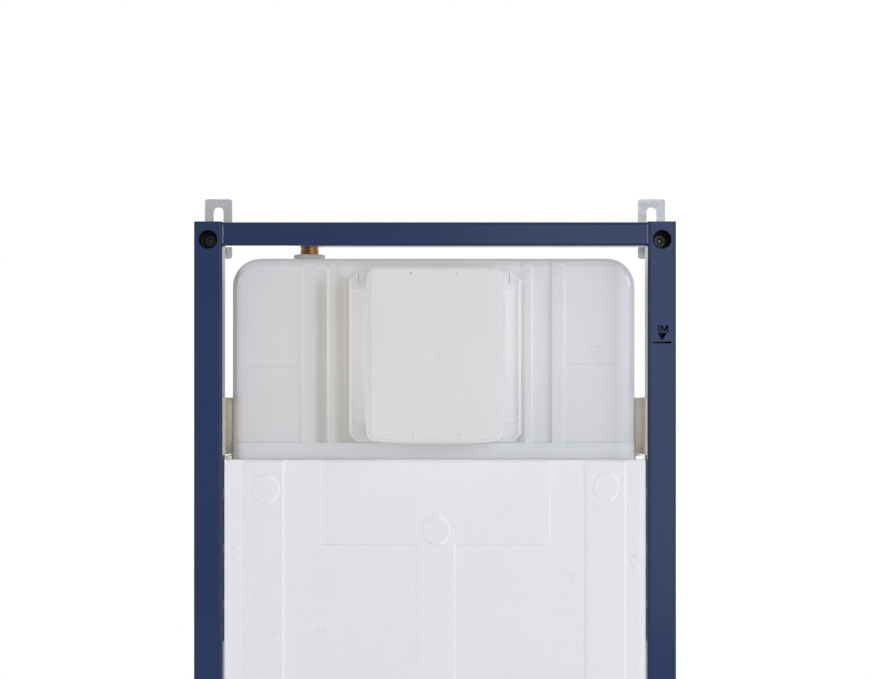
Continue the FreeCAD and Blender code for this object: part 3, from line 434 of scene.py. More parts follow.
LEDGE_ENDS = (-0.2075, 0.2047)
FIELD_SPLIT, FIELD_DRAFT, FIELD_SINK, FIELD_SLOPE = -0.085, 0.003, 0.004, 0.012


def add_block(name, low, high):
    """A box from its low to its high corner, to be shaped in edit mode."""
    empty_hand()
    low, high = Vector(low), Vector(high)
    bpy.ops.mesh.primitive_cube_add(size=1, location=(low + high) / 2)
    bpy.context.object.scale = high - low
    return take(name)


def slice_faces(test, across=(), up=()):
    """Cut the faces that pass a test along lines at these X and these heights."""
    for x in across:
        pick("faces", test)
        bpy.ops.mesh.bisect(plane_co=(x, 0, 0), plane_no=(1, 0, 0))
    for z in up:
        pick("faces", test)
        bpy.ops.mesh.bisect(plane_co=(0, 0, z), plane_no=(0, 0, 1))


def facing_front(depth):
    """Test for faces that look to the front at one depth."""
    def test(face):
        return face.normal.y < -0.99 and abs(middle(face).y - depth) < 0.0001
    return test


def sharp(edge, angle=20):
    return len(edge.link_faces) == 2 and edge.calc_face_angle(0) > math.radians(angle)


def run(edge, axis):
    """How far an edge runs along an axis."""
    start, end = edge.verts
    return abs(getattr(start.co, axis) - getattr(end.co, axis))


def inside(value, spans):
    """Whether a value lies in one of several spans."""
    return any(low < value < high for low, high in spans)


def ends(spans):
    """The ends of several spans, in one list."""
    return [end for span in spans for end in span]


def round_edges(test, radius, segments, clamp=False):
    """Round the edges of the piece in hand that pass a test."""
    pick("edges", test)
    bpy.ops.mesh.bevel(offset=radius, segments=segments, affect="EDGES", clamp_overlap=clamp)


def inset_faces(test, draft, rise, apart=False):
    """Raise or sink the faces that pass a test, with drafted walls, together or each by itself."""
    pick("faces", test)
    bpy.ops.mesh.inset(thickness=draft, depth=rise, use_individual=apart)


def move_verts(test, step):
    """Move the corners that pass a test."""
    pick("verts", test)
    bpy.ops.transform.translate(value=step)


tank = add_block("cistern", (TANK_LEFT, TANK_FRONT, TANK_LOW), (TANK_RIGHT, TANK_BACK, TANK_HIGH))
round_edges(lambda edge: run(edge, "y") > 0.01, CORNER_ROUND, 10)
for y in (-SEAM_HALF, SEAM_HALF):
    pick("faces", lambda face: abs(face.normal.y) < 0.5)
    bpy.ops.mesh.bisect(plane_co=(0, y, 0), plane_no=(0, 1, 0))
pick("faces", lambda face: abs(face.normal.y) < 0.5 and abs(middle(face).y) < SEAM_HALF - 0.0001)
bpy.ops.mesh.extrude_region_shrink_fatten(TRANSFORM_OT_shrink_fatten={"value": SEAM_RISE})
round_edges(lambda edge: sharp(edge, 60) and all(
    min(abs(end.co.y - TANK_FRONT), abs(end.co.y - TANK_BACK)) < 1e-5 for end in edge.verts), EDGE_ROUND, 8)


def tank_back(face):
    return face.normal.y > 0.99 and middle(face).y > TANK_BACK - 0.0001


slice_faces(tank_back, ends(BACK_COLUMNS), ends(BACK_ROWS))
inset_faces(lambda face: tank_back(face) and inside(middle(face).x, BACK_COLUMNS)
            and inside(middle(face).z, BACK_ROWS), BACK_SINK, -BACK_SINK)
round_edges(lambda edge: sharp(edge) and middle(edge).y > TANK_BACK - 0.0040 and abs(middle(edge).x) < 0.195
            and 0.70 < middle(edge).z < 1.07, 0.0015, 3, clamp=True)
tank_face = facing_front(TANK_FRONT)
slice_faces(tank_face, ends(RIBS) + [FIELD_SPLIT], [LEDGE_LOW, LEDGE_HIGH, RIB_FADE, RELIEF_HIGH])
slice_faces(lambda face: tank_face(face) and LEDGE_LOW < middle(face).z < LEDGE_HIGH, LEDGE_ENDS)


def on_relief(face):
    spot = middle(face)
    if not tank_face(face) or not LEDGE_LOW < spot.z < RELIEF_HIGH:
        return False
    return inside(spot.x, [LEDGE_ENDS] if spot.z < LEDGE_HIGH else RIBS)


def on_field(face):
    spot = middle(face)
    return tank_face(face) and RIBS[1][1] < spot.x < RIBS[2][0] and LEDGE_HIGH < spot.z < RELIEF_HIGH


# The field has a long slope at its top.
inset_faces(on_field, FIELD_DRAFT, -FIELD_SINK)
move_verts(lambda corner: TANK_FRONT + 0.0035 < corner.co.y < 0 and corner.co.z > RIB_FADE
           and abs(corner.co.x) < 0.11, (0, 0, -FIELD_SLOPE))

# Ribs and ledge stand out together. The ribs' inner flanks lean, and their tops run out into the edge.
inset_faces(on_relief, RIB_DRAFT, RIB_RISE)
crown = TANK_FRONT - RIB_RISE


def on_crown(corner):
    return abs(corner.co.y - crown) < 1e-4


for (left, right), lean in zip(RIBS, RIB_LEANS):
    inner_edge = right - RIB_DRAFT if lean < 0 else left + RIB_DRAFT
    move_verts(lambda corner: on_crown(corner) and abs(corner.co.x - inner_edge) < 1e-4
               and corner.co.z > LEDGE_HIGH - 0.002, (lean, 0, 0))
move_verts(lambda corner: on_crown(corner) and corner.co.z > RIB_FADE + 0.005, (0, 0.0030, 0.0070))
round_edges(lambda edge: middle(edge).y < TANK_FRONT + 0.0045 and sharp(edge, 22), 0.0017, 4, clamp=True)
milky = new_finish("milky_plastic", (210, 209, 209), (215, 214, 215), 0.12, (0.55, 0.65), specular=0.35,
                   dusty=0.08, grain_size=0.0035, grain_height=0.00002)
milk_inputs = inputs_of(milky)
milk_inputs["Subsurface Weight"].default_value = 0.15
milk_inputs["Subsurface Radius"].default_value = (1.0, 0.95, 0.85)
milk_inputs["Subsurface Scale"].default_value = 0.005


def ramp_of(tree, value, stops):
    """A colour that changes along a value, from pairs of a value and a colour."""
    start, end = stops[0][0], stops[-1][0]
    ramp = tree.nodes.new("ShaderNodeValToRGB")
    points = ramp.color_ramp.elements
    for place, _ in stops[1:-1]:
        points.new((place - start) / (end - start))
    for point, (_, colour) in zip(points, stops):
        point.color = colour
    tree.links.new(spread(tree, value, 0, 1, start, end), ramp.inputs["Fac"])
    return ramp.outputs["Color"]


def tint(tree, socket, colour):
    """Multiply what feeds a socket by another colour."""
    tree.links.new(blend(tree, 1, socket.links[0].from_socket, colour, "MULTIPLY"), socket)


# Painted glow: an emission stands in for light that gets through the plastic, brightest on the front wall
# beside its rounded edges, with a thin painted dark line at the left edge. Painted shade dims the glow low
# down, behind the foam, and most beside the strap's left tab.
EVEN = (1, 1, 1, 1)
milk_tree = milky.node_tree
glow_tone = shade(255, 252, 246)
milk_place = place_in(milk_tree)
edge_glow = ramp_of(milk_tree, milk_place["X"], (
    (-0.2140, (1.5, 1.48, 1.38, 1)), (-0.2110, (0.85, 0.83, 0.76, 1)), (-0.2066, (1.5, 1.48, 1.40, 1)),
    (-0.180, glow_tone), (0.193, glow_tone), (0.2075, (2.9, 3.0, 3.3, 1))))
front_wall = spread(milk_tree, milk_place["Y"], 1, 0, -0.033, -0.026)
milk_tree.links.new(blend(milk_tree, front_wall, glow_tone, edge_glow), milk_inputs["Emission Color"])
low_down = ramp_of(milk_tree, milk_place["Z"], ((0.895, (0.50, 0.54, 0.57, 1)), (0.985, EVEN)))
on_tank = spread(milk_tree, milk_place["Y"], 0, 1, -0.047, -0.044)
beside_tab = joined(milk_tree, spread(milk_tree, milk_place["X"], 1, 0, -0.2110, -0.2035),
                     spread(milk_tree, milk_place["Z"], 1, 0, 0.9415, 0.949))
glow_shade = blend(milk_tree, beside_tab, blend(milk_tree, on_tank, EVEN, low_down), (0.1, 0.1, 0.1, 1))
tint(milk_tree, milk_inputs["Emission Color"], glow_shade)
milk_inputs["Emission Strength"].default_value = 0.10
finish_piece(tank, milky, "frame", "cistern_plastic", "cistern_body")


def variant(material, name, glow, **tones):
    """The same stuff with more or less painted glow, or with tones of its own."""
    other = material.copy()
    other.name = name
    inputs_of(other)["Emission Strength"].default_value = glow
    for label, tone in tones.items():
        other.node_tree.nodes["Group"].inputs[label.capitalize()].default_value = shade(*tone)
    return other


def glow_faces(piece, name, glow, test, **tones):
    """Coat faces with a copy of the milky plastic whose painted glow is stronger or weaker, as painted light
    or shade.
    """
    coat_faces(piece, variant(milky, "milky_plastic_" + name, glow, **tones), test)


def on_flank(face):
    return crown - 0.001 < middle(face).y < TANK_FRONT + 0.0005


def outer_flank(face):
    spot = middle(face)
    return face.normal.x * math.copysign(1, spot.x) > 0.25 and on_flank(face) and LEDGE_HIGH < spot.z


def on_rounding(face):
    spot = middle(face)
    return TANK_FRONT + 0.0001 < spot.y < 0.0 and (abs(spot.x) > 0.2 or spot.z > 1.0825)


def beside_left_ribs(face):
    spot = middle(face)
    return (face.normal.y < -0.2 and crown - 0.001 < spot.y < TANK_FRONT + 0.005 and not outer_flank(face)
            and RIBS[0][0] < spot.x < FIELD_SPLIT and LEDGE_HIGH < spot.z < RELIEF_HIGH)


def right_slope(face):
    spot = middle(face)
    return (face.normal.x < -0.2 and crown - 0.001 < spot.y < TANK_FRONT + 0.005
            and 0.080 < spot.x < RIBS[2][0] + 0.004 and 1.045 < spot.z < RELIEF_HIGH)


# Painted highlights: the ribs' outer flanks, the left and top rounded edges and the left end of the ledge get
# more painted glow, the rounded edges warmer at the left end and brighter and bluer at the right.
for side, sign, glow in (("left", -1, 0.25), ("right", 1, 0.18)):
    glow_faces(tank, "edge_" + side, glow, lambda face: outer_flank(face) and middle(face).x * sign > 0)
rounding_glow = variant(milky, "milky_plastic_rounding_glow", 0.17)
rounding_glow_stops = rounding_glow.node_tree.nodes["Color Ramp"].color_ramp.elements
rounding_glow_stops[0].color = (0.95, 0.93, 0.78, 1)
rounding_glow_stops[-1].color = (1.71, 1.76, 1.94, 1)
coat_faces(tank, rounding_glow, lambda face: on_rounding(face) and (face.normal.x < -0.75 or face.normal.z > 0.3))
glow_faces(tank, "end", 0.22, lambda face: face.normal.x < -0.25 and middle(face).x < -0.2 and on_flank(face))

# Painted shade: between the left ribs and in the field beside them the plastic is painted darker and warmer,
# fading out at the top.
rib_gap_shade = variant(milky, "milky_plastic_rib_gap_shade", 0.10)
rib_gap_shade_tree = rib_gap_shade.node_tree
rib_gap_shade_place = place_in(rib_gap_shade_tree)
painted_shade_ramp = ramp_of(rib_gap_shade_tree, rib_gap_shade_place["X"], (
    (-0.1412, EVEN), (-0.1360, (0.97, 0.97, 0.95, 1)), (-0.1298, (0.95, 0.95, 0.92, 1)),
    (-0.1277, (0.93, 0.93, 0.895, 1)), (-0.1261, (0.84, 0.835, 0.79, 1)), (-0.1228, (0.787, 0.785, 0.724, 1)),
    (-0.1190, (0.787, 0.785, 0.724, 1)), (-0.1165, (0.83, 0.83, 0.78, 1)), (-0.1145, (0.98, 0.975, 0.955, 1)),
    (-0.1083, (0.98, 0.975, 0.955, 1)), (-0.1052, (0.93, 0.92, 0.86, 1)), (-0.1020, (0.90, 0.89, 0.80, 1)),
    (-0.0980, (0.885, 0.875, 0.79, 1)), (-0.0935, (0.92, 0.91, 0.84, 1)), (-0.0890, (0.967, 0.96, 0.92, 1)),
    (FIELD_SPLIT, EVEN)))
shade_fade = spread(rib_gap_shade_tree, rib_gap_shade_place["Z"], 0, 1, 1.058, RELIEF_HIGH)
painted_shade_ramp = blend(rib_gap_shade_tree, shade_fade, painted_shade_ramp, EVEN)
for label in ("Base Color", "Emission Color"):
    tint(rib_gap_shade_tree, inputs_of(rib_gap_shade)[label], painted_shade_ramp)
coat_faces(tank, rib_gap_shade, beside_left_ribs)
# Painted light on the field's right wall near the top, which lies in shade.
glow_faces(tank, "slope", 0.17, right_slope)

# The ledge runs on round both of the tank's front edges.
ledge = add_block("cistern_ledge", (TANK_LEFT + 0.0003, crown - 0.0002, LEDGE_LOW),
                  (TANK_RIGHT - 0.0003, -0.020, LEDGE_HIGH))
round_edges(lambda edge: run(edge, "z") > 0.01 and middle(edge).y < TANK_FRONT, 0.0095, 8)
round_edges(lambda edge: sharp(edge, 60) and middle(edge).y < -0.0205, 0.0020, 4)
# The ledge gets more painted glow than the cistern, with a slightly darker tone.
ledge_milk = variant(milky, "milky_plastic_ledge", 0.138, dark=(206, 206, 207), light=(210, 210, 212))
finish_piece(ledge, ledge_milk, "frame", "cistern_plastic")

# Level marks: a triangle over a line on each side of the cistern's front, of the same plastic and moulded
# proud of it. They show the fitter the water line.
LINE_HALF, LINE_RISE, ARROW_LIFT = 0.0257, 0.0004, 0.0147
# The marks get a little less painted glow than the cistern, and a slightly darker tone.
mark = variant(milky, "milky_plastic_mark", 0.09, dark=(205, 205, 206), light=(209, 209, 211))
for side, x, z in (("left", -0.1733, 0.9752), ("right", 0.1698, 0.9777)):
    line = add_block("level_line_" + side, (x - LINE_HALF, TANK_FRONT - LINE_RISE, z - 0.0005),
                     (x + LINE_HALF, TANK_FRONT + 0.001, z + 0.0005))
    round_edges(lambda edge: middle(edge).y < TANK_FRONT, 0.0003, 2)
    finish_piece(line, mark, "frame", "cistern_plastic")
    bpy.ops.mesh.primitive_cylinder_add(
        vertices=3, radius=0.0088, depth=0.0014, location=(x, TANK_FRONT + 0.0003, z + ARROW_LIFT),
        rotation=(math.radians(90), math.radians(180), 0))
    arrow = take("level_arrow_" + side)
    inset_faces(lambda face: face.normal.y < -0.9, 0.0012, 0)
    bpy.ops.transform.translate(value=(0, 0.0007, 0))
    finish_piece(arrow, mark, "frame", "cistern_plastic")

# Access collar and cover: injection moulded plastic, the collar sealed on the cistern's sunk field and the
# cover clipped into it while the wall is built. The collar has two slits at the top for the cover's tongues.
COLLAR_HALF, COLLAR_CUT, COLLAR_RIM, RIM_RISE = 0.0918, 0.009, 0.0028, 0.0014
COLLAR_BACK, COLLAR_FRONT = -0.034, -0.043
COLLAR_LOW, COLLAR_HIGH = 0.8942, 1.0765
POCKET_LOW, POCKET_HIGH, POCKET_SINK = 0.914, 1.058, 0.0025
SLITS = ((-0.0820, -0.0814), (0.0791, 0.0797))
SLIT_LOW, SLIT_HIGH, SLIT_SINK = 1.064, 1.0755, 0.003
COVER_HALF = 0.070
collar = add_block("collar", (-COLLAR_HALF, COLLAR_FRONT, COLLAR_LOW),
                   (COLLAR_HALF, COLLAR_BACK, COLLAR_HIGH))
round_edges(lambda edge: run(edge, "y") > 0.001, COLLAR_CUT, 1)
rim_edge = COLLAR_HALF - COLLAR_RIM
rim_corner = COLLAR_HALF - COLLAR_CUT - COLLAR_RIM * math.sqrt(2)
collar_face = facing_front(COLLAR_FRONT)
slice_faces(collar_face, [-rim_edge, rim_edge, -COVER_HALF, COVER_HALF] + ends(SLITS),
            [POCKET_LOW, POCKET_HIGH, SLIT_LOW, SLIT_HIGH])
for sign in (-1, 1):
    pick("faces", collar_face)
    bpy.ops.mesh.bisect(plane_co=(sign * rim_corner, 0, COLLAR_LOW), plane_no=(sign, 0, -1))


def on_rim(face):
    """Down both sides and across the two lower corners."""
    spot = middle(face)
    return collar_face(face) and (abs(spot.x) > rim_edge or abs(spot.x) - spot.z > rim_corner - COLLAR_LOW)


def by_slit(edge):
    spot = middle(edge)
    return SLIT_LOW - 0.0005 < spot.z < SLIT_HIGH + 0.0005 and 0.0785 < abs(spot.x) < 0.0825


pick("faces", on_rim)
bpy.ops.mesh.extrude_region_move(TRANSFORM_OT_translate={"value": (0, -RIM_RISE, 0)})
inset_faces(lambda face: collar_face(face) and COVER_HALF < abs(middle(face).x) < rim_edge
            and POCKET_LOW < middle(face).z < POCKET_HIGH, 0.0008, -POCKET_SINK)
inset_faces(lambda face: collar_face(face) and SLIT_LOW < middle(face).z < SLIT_HIGH
            and inside(middle(face).x, SLITS), 0.0001, -SLIT_SINK, apart=True)
round_edges(lambda edge: sharp(edge, 40) and middle(edge).y < COLLAR_FRONT + 0.0015 and not by_slit(edge),
            0.0005, 2, clamp=True)
# Painted light and shade: the collar gets more painted glow than the cistern; its tabs, pockets and right rim
# a little less, its slits and left rim much less.
clear = variant(milky, "milky_plastic_glowing", 0.185)
finish_piece(collar, clear, "frame", "cover_plastic", "access_collar")
glow_faces(collar, "tab", 0.13, lambda face: face.normal.y < -0.9 and abs(middle(face).x) < rim_edge
           and not POCKET_LOW < middle(face).z < POCKET_HIGH)
glow_faces(collar, "slit", 0.07, lambda face: middle(face).y > COLLAR_FRONT + 0.0004
           and SLIT_LOW + 0.0002 < middle(face).z < SLIT_HIGH - 0.0002 and inside(middle(face).x, SLITS))
glow_faces(collar, "pocket", 0.14, lambda face: face.normal.y < -0.9 and middle(face).y > COLLAR_FRONT + 0.001
           and COVER_HALF < middle(face).x < rim_edge and POCKET_LOW < middle(face).z < POCKET_HIGH)
for side, sign, glow in (("left", -1, 0.04), ("right", 1, 0.16)):
    glow_faces(collar, "rim_" + side, glow, lambda face: face.normal.x * sign > 0.25
               and middle(face).x * sign > 0 and middle(face).y < COLLAR_FRONT)

COVER_FRONT, COVER_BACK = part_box("access_cover")[0].y, -0.0395
COVER_MIDDLE, COVER_TALL = 0.987, 0.091
BASE_WIDER, BASE_TALLER = 1.048, 1.012
SIDE_SWELL, FOOT_SWELL = 0.0040, 0.0036
PINS = ((-0.0254, 1.0716), (0.0226, 1.0711), (-0.0228, 0.9036), (0.0249, 0.9036))
GATE_X, GATE_Z = 0.0005, 0.9845
cover = add_block("cover_cap", (-COVER_HALF, COVER_FRONT, COVER_MIDDLE - COVER_TALL),
                  (COVER_HALF, COVER_BACK, COVER_MIDDLE + COVER_TALL))
round_edges(lambda edge: run(edge, "y") > 0.01, 0.0085, 6)
across = [step * 0.0175 for step in range(-3, 4)]
up = [COVER_MIDDLE + step * 0.0225 for step in range(-3, 4)]
slice_faces(lambda face: True, across, up)


def on_base(corner):
    return abs(corner.co.y - COVER_BACK) < 1e-4


# The cover widens to its base, which bulges at the sides and at the foot.
pick("verts", on_base)
bpy.ops.transform.resize(value=(BASE_WIDER, 1, BASE_TALLER), center_override=(0, COVER_BACK, COVER_MIDDLE))
for z in up:
    swell = 1 - ((z - COVER_MIDDLE) / COVER_TALL) ** 2
    for sign in (-1, 1):
        move_verts(lambda corner: abs(corner.co.z - COVER_MIDDLE - (z - COVER_MIDDLE) * BASE_TALLER) < 1e-4
                   and on_base(corner) and corner.co.x * sign > COVER_HALF, (sign * SIDE_SWELL * swell, 0, 0))
for x in across:
    swell = 1 - (x / COVER_HALF) ** 2
    move_verts(lambda corner: abs(corner.co.x - x * BASE_WIDER) < 1e-4 and on_base(corner)
               and corner.co.z < COVER_MIDDLE - COVER_TALL, (0, 0, -FOOT_SWELL * swell))
round_edges(lambda edge: sharp(edge, 60) and all(abs(end.co.y - COVER_FRONT) < 1e-4 for end in edge.verts),
            0.0045, 6)
inset_faces(facing_front(COVER_FRONT), 0.0006, 0)

# Ejector pins and the moulding gate have left their marks in its front.
for x, z in PINS:
    carve(cover, turned("ejector_pin", [(0, 0.0012), (0.0010, 0.0012), (0.0014, -0.002), (0, -0.002)],
                        (x, COVER_FRONT, z), (0, 1, 0), 20))
gate = [(0, 0.0002), (0.0009, 0.0002), (0.0013, 0.0008), (0.0055, 0.0007), (0.0076, 0.0002),
        (0.0110, 0), (0.0113, -0.002), (0, -0.002)]
carve(cover, turned("gate_mark", gate, (GATE_X, COVER_FRONT, GATE_Z), (0, 1, 0), 40))
finish_piece(cover, milky, "frame", "cover_plastic", "access_cover")


def on_cover_side(face):
    return COVER_FRONT + 0.001 < middle(face).y < COVER_BACK - 0.001


# Painted light and shade: the cover's sides get the collar's stronger painted glow, its left side more still,
# the pin marks much less, and the gate mark's dish and lip painted glow of their own.
coat_faces(cover, clear, lambda face: abs(face.normal.y) < 0.75 and on_cover_side(face))
glow_faces(cover, "side", 0.25, lambda face: face.normal.x < -0.66 and on_cover_side(face))
glow_faces(cover, "pin", 0.03, lambda face: middle(face).y > COVER_FRONT + 0.0003
           and any(from_axis(face, x, z) < 0.002 for x, z in PINS))
for name, start, end, glow in (("dish", 0.0012, 0.0056, 0.088), ("lip", 0.0056, 0.0078, 0.115)):
    glow_faces(cover, "gate_" + name, glow, lambda face: face.normal.y < -0.5
               and start < from_axis(face, GATE_X, GATE_Z) < end)

# Water inlet: a moulded collar with rounded shoulders, and in it a turned brass nipple with a half-inch
# pipe thread, clamped in the cistern's top.
HALF_INCH_RADIUS, HALF_INCH_PITCH = 0.01045, 0.001814
low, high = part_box("inlet_collar")
inlet = (low + high) / 2
inlet.z = low.z
shoulder_outline = [(0.0100, 0), (0.0170, 0), (0.0170, 0.0040), (0.0168, 0.0048), (0.0163, 0.0053),
                    (0.0155, 0.0055), (0.0108, 0.0055), (0.0104, 0.0050), (0.0100, 0)]
shoulder = turned("inlet_shoulder", shoulder_outline, inlet, (0, 0, 1), 48)
# The shoulder gets less painted glow than the cistern, and a greyer tone.
grey_milk = variant(milky, "milky_plastic_grey", 0.06, dark=(194, 189, 184), light=(202, 197, 192))
finish_piece(shoulder, grey_milk, "frame", "cover_plastic", "inlet_collar")
brass = new_finish("brass", (212, 182, 136), (226, 196, 150), 0.02, (0.2, 0.34), metallic=1.0)
brass_underside_shade = new_finish("brass_thread_underside_shade", (164, 130, 86), (178, 144, 98), 0.02, (0.35, 0.5), metallic=1.0)

# Painted reflections: the room's dark side and a window are painted into the brass as a dark and a bright
# stripe.
for finish in (brass, brass_underside_shade):
    stripes = ramp_of(finish.node_tree, place_in(finish.node_tree)["X"], (
        (inlet.x - 0.0064, (1.14, 1.18, 1.24, 1)), (inlet.x - 0.0034, (0.72, 0.70, 0.70, 1)),
        (inlet.x, (0.66, 0.62, 0.60, 1)), (inlet.x + 0.0016, EVEN), (inlet.x + 0.0033, (1.40, 1.40, 1.45, 1)),
        (inlet.x + 0.0045, (1.25, 1.25, 1.30, 1)), (inlet.x + 0.0068, EVEN)))
    tint(finish.node_tree, inputs_of(finish)["Base Color"], stripes)
low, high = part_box("inlet_nipple")
inlet.z = 0
nipple_outline = [(0.0070, low.z), (0.0094, low.z)]
nipple_outline += thread(low.z + 0.0012, high.z - 0.0012, HALF_INCH_RADIUS, HALF_INCH_PITCH)
nipple_outline += [(0.0094, high.z), (0.0074, high.z), (0.0070, high.z - 0.0004), (0.0070, low.z)]
nipple = turned("threaded_nipple", nipple_outline, inlet, (0, 0, 1), 48)
finish_piece(nipple, brass, "frame", "brass", "inlet_nipple")
# Painted shade: the thread's downward-facing flanks are painted darker.
coat_faces(nipple, brass_underside_shade, lambda face: face.normal.z < -0.3
           and low.z + 0.001 < middle(face).z < high.z - 0.001)

# Strap: a galvanised steel strip bent round the back of the cistern, with a riveted tab beside each post
# that keeps the cistern from sliding. Its spangle is dull and slightly yellow.
TAB_LOW, TAB_HIGH = 0.8815, 0.9415
TAB_FRONT, TAB_BACK, TAB_END = -0.027, -0.025, 0.2320
RIVET_X, RIVET_Z = 0.2248, 0.9135
galvanised = new_finish("galvanised", (194, 187, 169), (205, 199, 183), 0.008, (0.42, 0.58), metallic=0.2)
dress(galvanised, "rear_strap")
# Painted light and shade: the left tab is painted darker and the right tab lighter, for the different light
# in the gaps beside the posts.
for side, sign, reach, dark, light in (("left", -1, 0.2171, (188, 181, 162), (194, 188, 170)),
                                       ("right", 1, 0.2148, (210, 205, 189), (216, 211, 196))):
    left, right = sorted((sign * reach, sign * TAB_END))
    tab = add_block("strap_tab_" + side, (left, TAB_FRONT, TAB_LOW), (right, TAB_BACK, TAB_HIGH))
    round_edges(lambda edge: sharp(edge, 60), 0.0005, 2)
    tab_steel = new_finish("galvanised_tab_" + side, dark, light, 0.008, (0.42, 0.58), metallic=0.2)
    finish_piece(tab, tab_steel, "frame", "strap_steel")
    head = [(0, -0.0008), (0.0009, -0.0007), (0.0014, -0.0003), (0.0015, 0.0004), (0, 0.0004)]
    rivet = turned("strap_rivet_" + side, head, (sign * RIVET_X, TAB_FRONT, RIVET_Z), (0, 1, 0), 24)
    finish_piece(rivet, zinc, "frame", "zinc_steel")

# Insulation: a panel of white bead foam pushed between the posts in front of the cistern, and a notched strip
# down each side of it. Steamed in a mould, which leaves raised fields and its plugs' marks in the panel.
foam = new_finish("bead_foam", (240, 238, 239), (242, 240, 241), 0.09, (0.8, 0.95), specular=0.2, dusty=0.1)
foam_tree = foam.node_tree
foam_inputs = inputs_of(foam)
beads = foam_tree.nodes.new("ShaderNodeTexVoronoi")
beads.inputs["Scale"].default_value = 420
bead_place = foam_tree.nodes.new("ShaderNodeTexCoord")
foam_tree.links.new(bead_place.outputs["Object"], beads.inputs["Vector"])
bead_tone = spread(foam_tree, beads.outputs["Distance"], 0, 0.05, 0.35, 0.8)
clean = foam_inputs["Base Color"].links[0].from_socket
smudge = add_effect(foam, drift, size=0.022)["Amount"]
smudged = blend(foam_tree, spread(foam_tree, smudge, 0, 0.07, 0.97, 1.0), clean, shade(170, 168, 166))
foam_tree.links.new(blend(foam_tree, bead_tone, smudged, shade(196, 195, 200)), foam_inputs["Base Color"])
bead_bump = foam_tree.nodes.new("ShaderNodeBump")
bead_bump.invert = True
bead_bump.inputs["Distance"].default_value = 0.00004
foam_tree.links.new(beads.outputs["Distance"], bead_bump.inputs["Height"])
foam_tree.links.new(bead_bump.outputs["Normal"], foam_inputs["Normal"])

# Painted glow: the panel's front is given an emission that grows towards the posts, painted light where the
# posts would shade it, so the front stays pale right up to them.
NONE = (0, 0, 0, 1)
foam_place = place_in(foam_tree)
post_glow = ramp_of(foam_tree, foam_place["X"], (
    (-0.2225, (0.250, 0.245, 0.235, 1)), (-0.2185, (0.140, 0.138, 0.135, 1)),
    (-0.2153, (0.085, 0.084, 0.084, 1)), (-0.2111, (0.050, 0.050, 0.050, 1)),
    (-0.2037, (0.028, 0.028, 0.028, 1)), (-0.191, NONE), (0.206, NONE),
    (0.2100, (0.025, 0.025, 0.025, 1)), (0.2132, (0.045, 0.045, 0.045, 1)),
    (0.2153, (0.082, 0.082, 0.083, 1)), (0.2174, (0.148, 0.148, 0.150, 1)),
    (0.2195, (0.235, 0.235, 0.238, 1)), (0.2217, (0.295, 0.295, 0.300, 1))))
front_skin = spread(foam_tree, foam_place["Y"], 1, 0, -0.0585, -0.0565)
foam_tree.links.new(blend(foam_tree, front_skin, NONE, post_glow), foam_inputs["Emission Color"])
foam_inputs["Emission Strength"].default_value = 1

NOTCHES = ((0.715, 0.725), (0.775, 0.785), (0.835, 0.845))
# The strips' fronts get painted glow, much stronger on the right strip, as painted light in the gaps by the
# posts.
for side, sign, reach, glow in (("left", -1, 0.2173, 0.02), ("right", 1, 0.2146, 0.56)):
    low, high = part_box("insulation_side_" + side)
    left, right = sorted((sign * reach, sign * max(abs(low.x), abs(high.x))))
    strip = add_block("foam_side_" + side, (left, low.y, low.z), (right, high.y, high.z))
    round_edges(lambda edge: sharp(edge, 60), 0.0012, 2)
    slice_faces(lambda face: abs(face.normal.x) > 0.99, (), ends(NOTCHES))
    inset_faces(lambda face: face.normal.x * sign > 0.99 and inside(middle(face).z, NOTCHES), 0.0012, -0.0012,
                apart=True)
    side_foam = variant(foam, "bead_foam_side_" + side, glow, dark=(236, 235, 221), light=(240, 239, 227))
    side_tree = side_foam.node_tree
    foremost = spread(side_tree, place_in(side_tree)["Y"], 1, 0, -0.0432, -0.040)
    side_light = blend(side_tree, foremost, NONE, shade(255, 254, 246))
    side_tree.links.new(side_light, inputs_of(side_foam)["Emission Color"])
    finish_piece(strip, side_foam, "frame", "foam", "insulation_side_" + side)

FOAM_FRONT, FOAM_RISE, FOAM_DRAFT, FOAM_LEAN = -0.0606, 0.0014, 0.0009, 0.0024
STRIPS = ((-0.203, -0.1602), (0.158, 0.2023))
BAR_HALF, BAR_LOW, STEM_HALF = 0.1225, 0.785, 0.021
RECESSES = ((-0.160, -0.060), (0.060, 0.160))
RECESS_LOW, RECESS_HIGH = 0.462, 0.650
low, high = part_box("insulation_panel")
panel = add_block("foam_panel", (low.x, FOAM_FRONT, low.z), (high.x, high.y, high.z))
round_edges(lambda edge: sharp(edge, 60) and middle(edge).y < FOAM_FRONT + 0.012, 0.0014, 3)
foam_face = facing_front(FOAM_FRONT)
slice_faces(foam_face, ends(STRIPS) + [-BAR_HALF, BAR_HALF, -STEM_HALF, STEM_HALF], [BAR_LOW])
slice_faces(lambda face: face.normal.y > 0.99, ends(RECESSES), (RECESS_LOW, RECESS_HIGH))
inset_faces(lambda face: face.normal.y > 0.99 and RECESS_LOW < middle(face).z < RECESS_HIGH
            and inside(middle(face).x, RECESSES), 0.003, -0.004)


def on_raised_field(face):
    spot = middle(face)
    half = BAR_HALF if spot.z > BAR_LOW else STEM_HALF
    return foam_face(face) and (inside(spot.x, STRIPS) or abs(spot.x) < half)


inset_faces(on_raised_field, FOAM_DRAFT, FOAM_RISE)
raised = FOAM_FRONT - FOAM_RISE
for left in (STRIPS[0][0], -BAR_HALF, -STEM_HALF, STRIPS[1][0]):
    move_verts(lambda corner: abs(corner.co.y - raised) < 1e-4
               and abs(corner.co.x - left - FOAM_DRAFT) < 1e-4, (FOAM_LEAN, 0, 0))
round_edges(lambda edge: sharp(edge, 25) and middle(edge).y < FOAM_FRONT + 0.0001, 0.0006, 3, clamp=True)

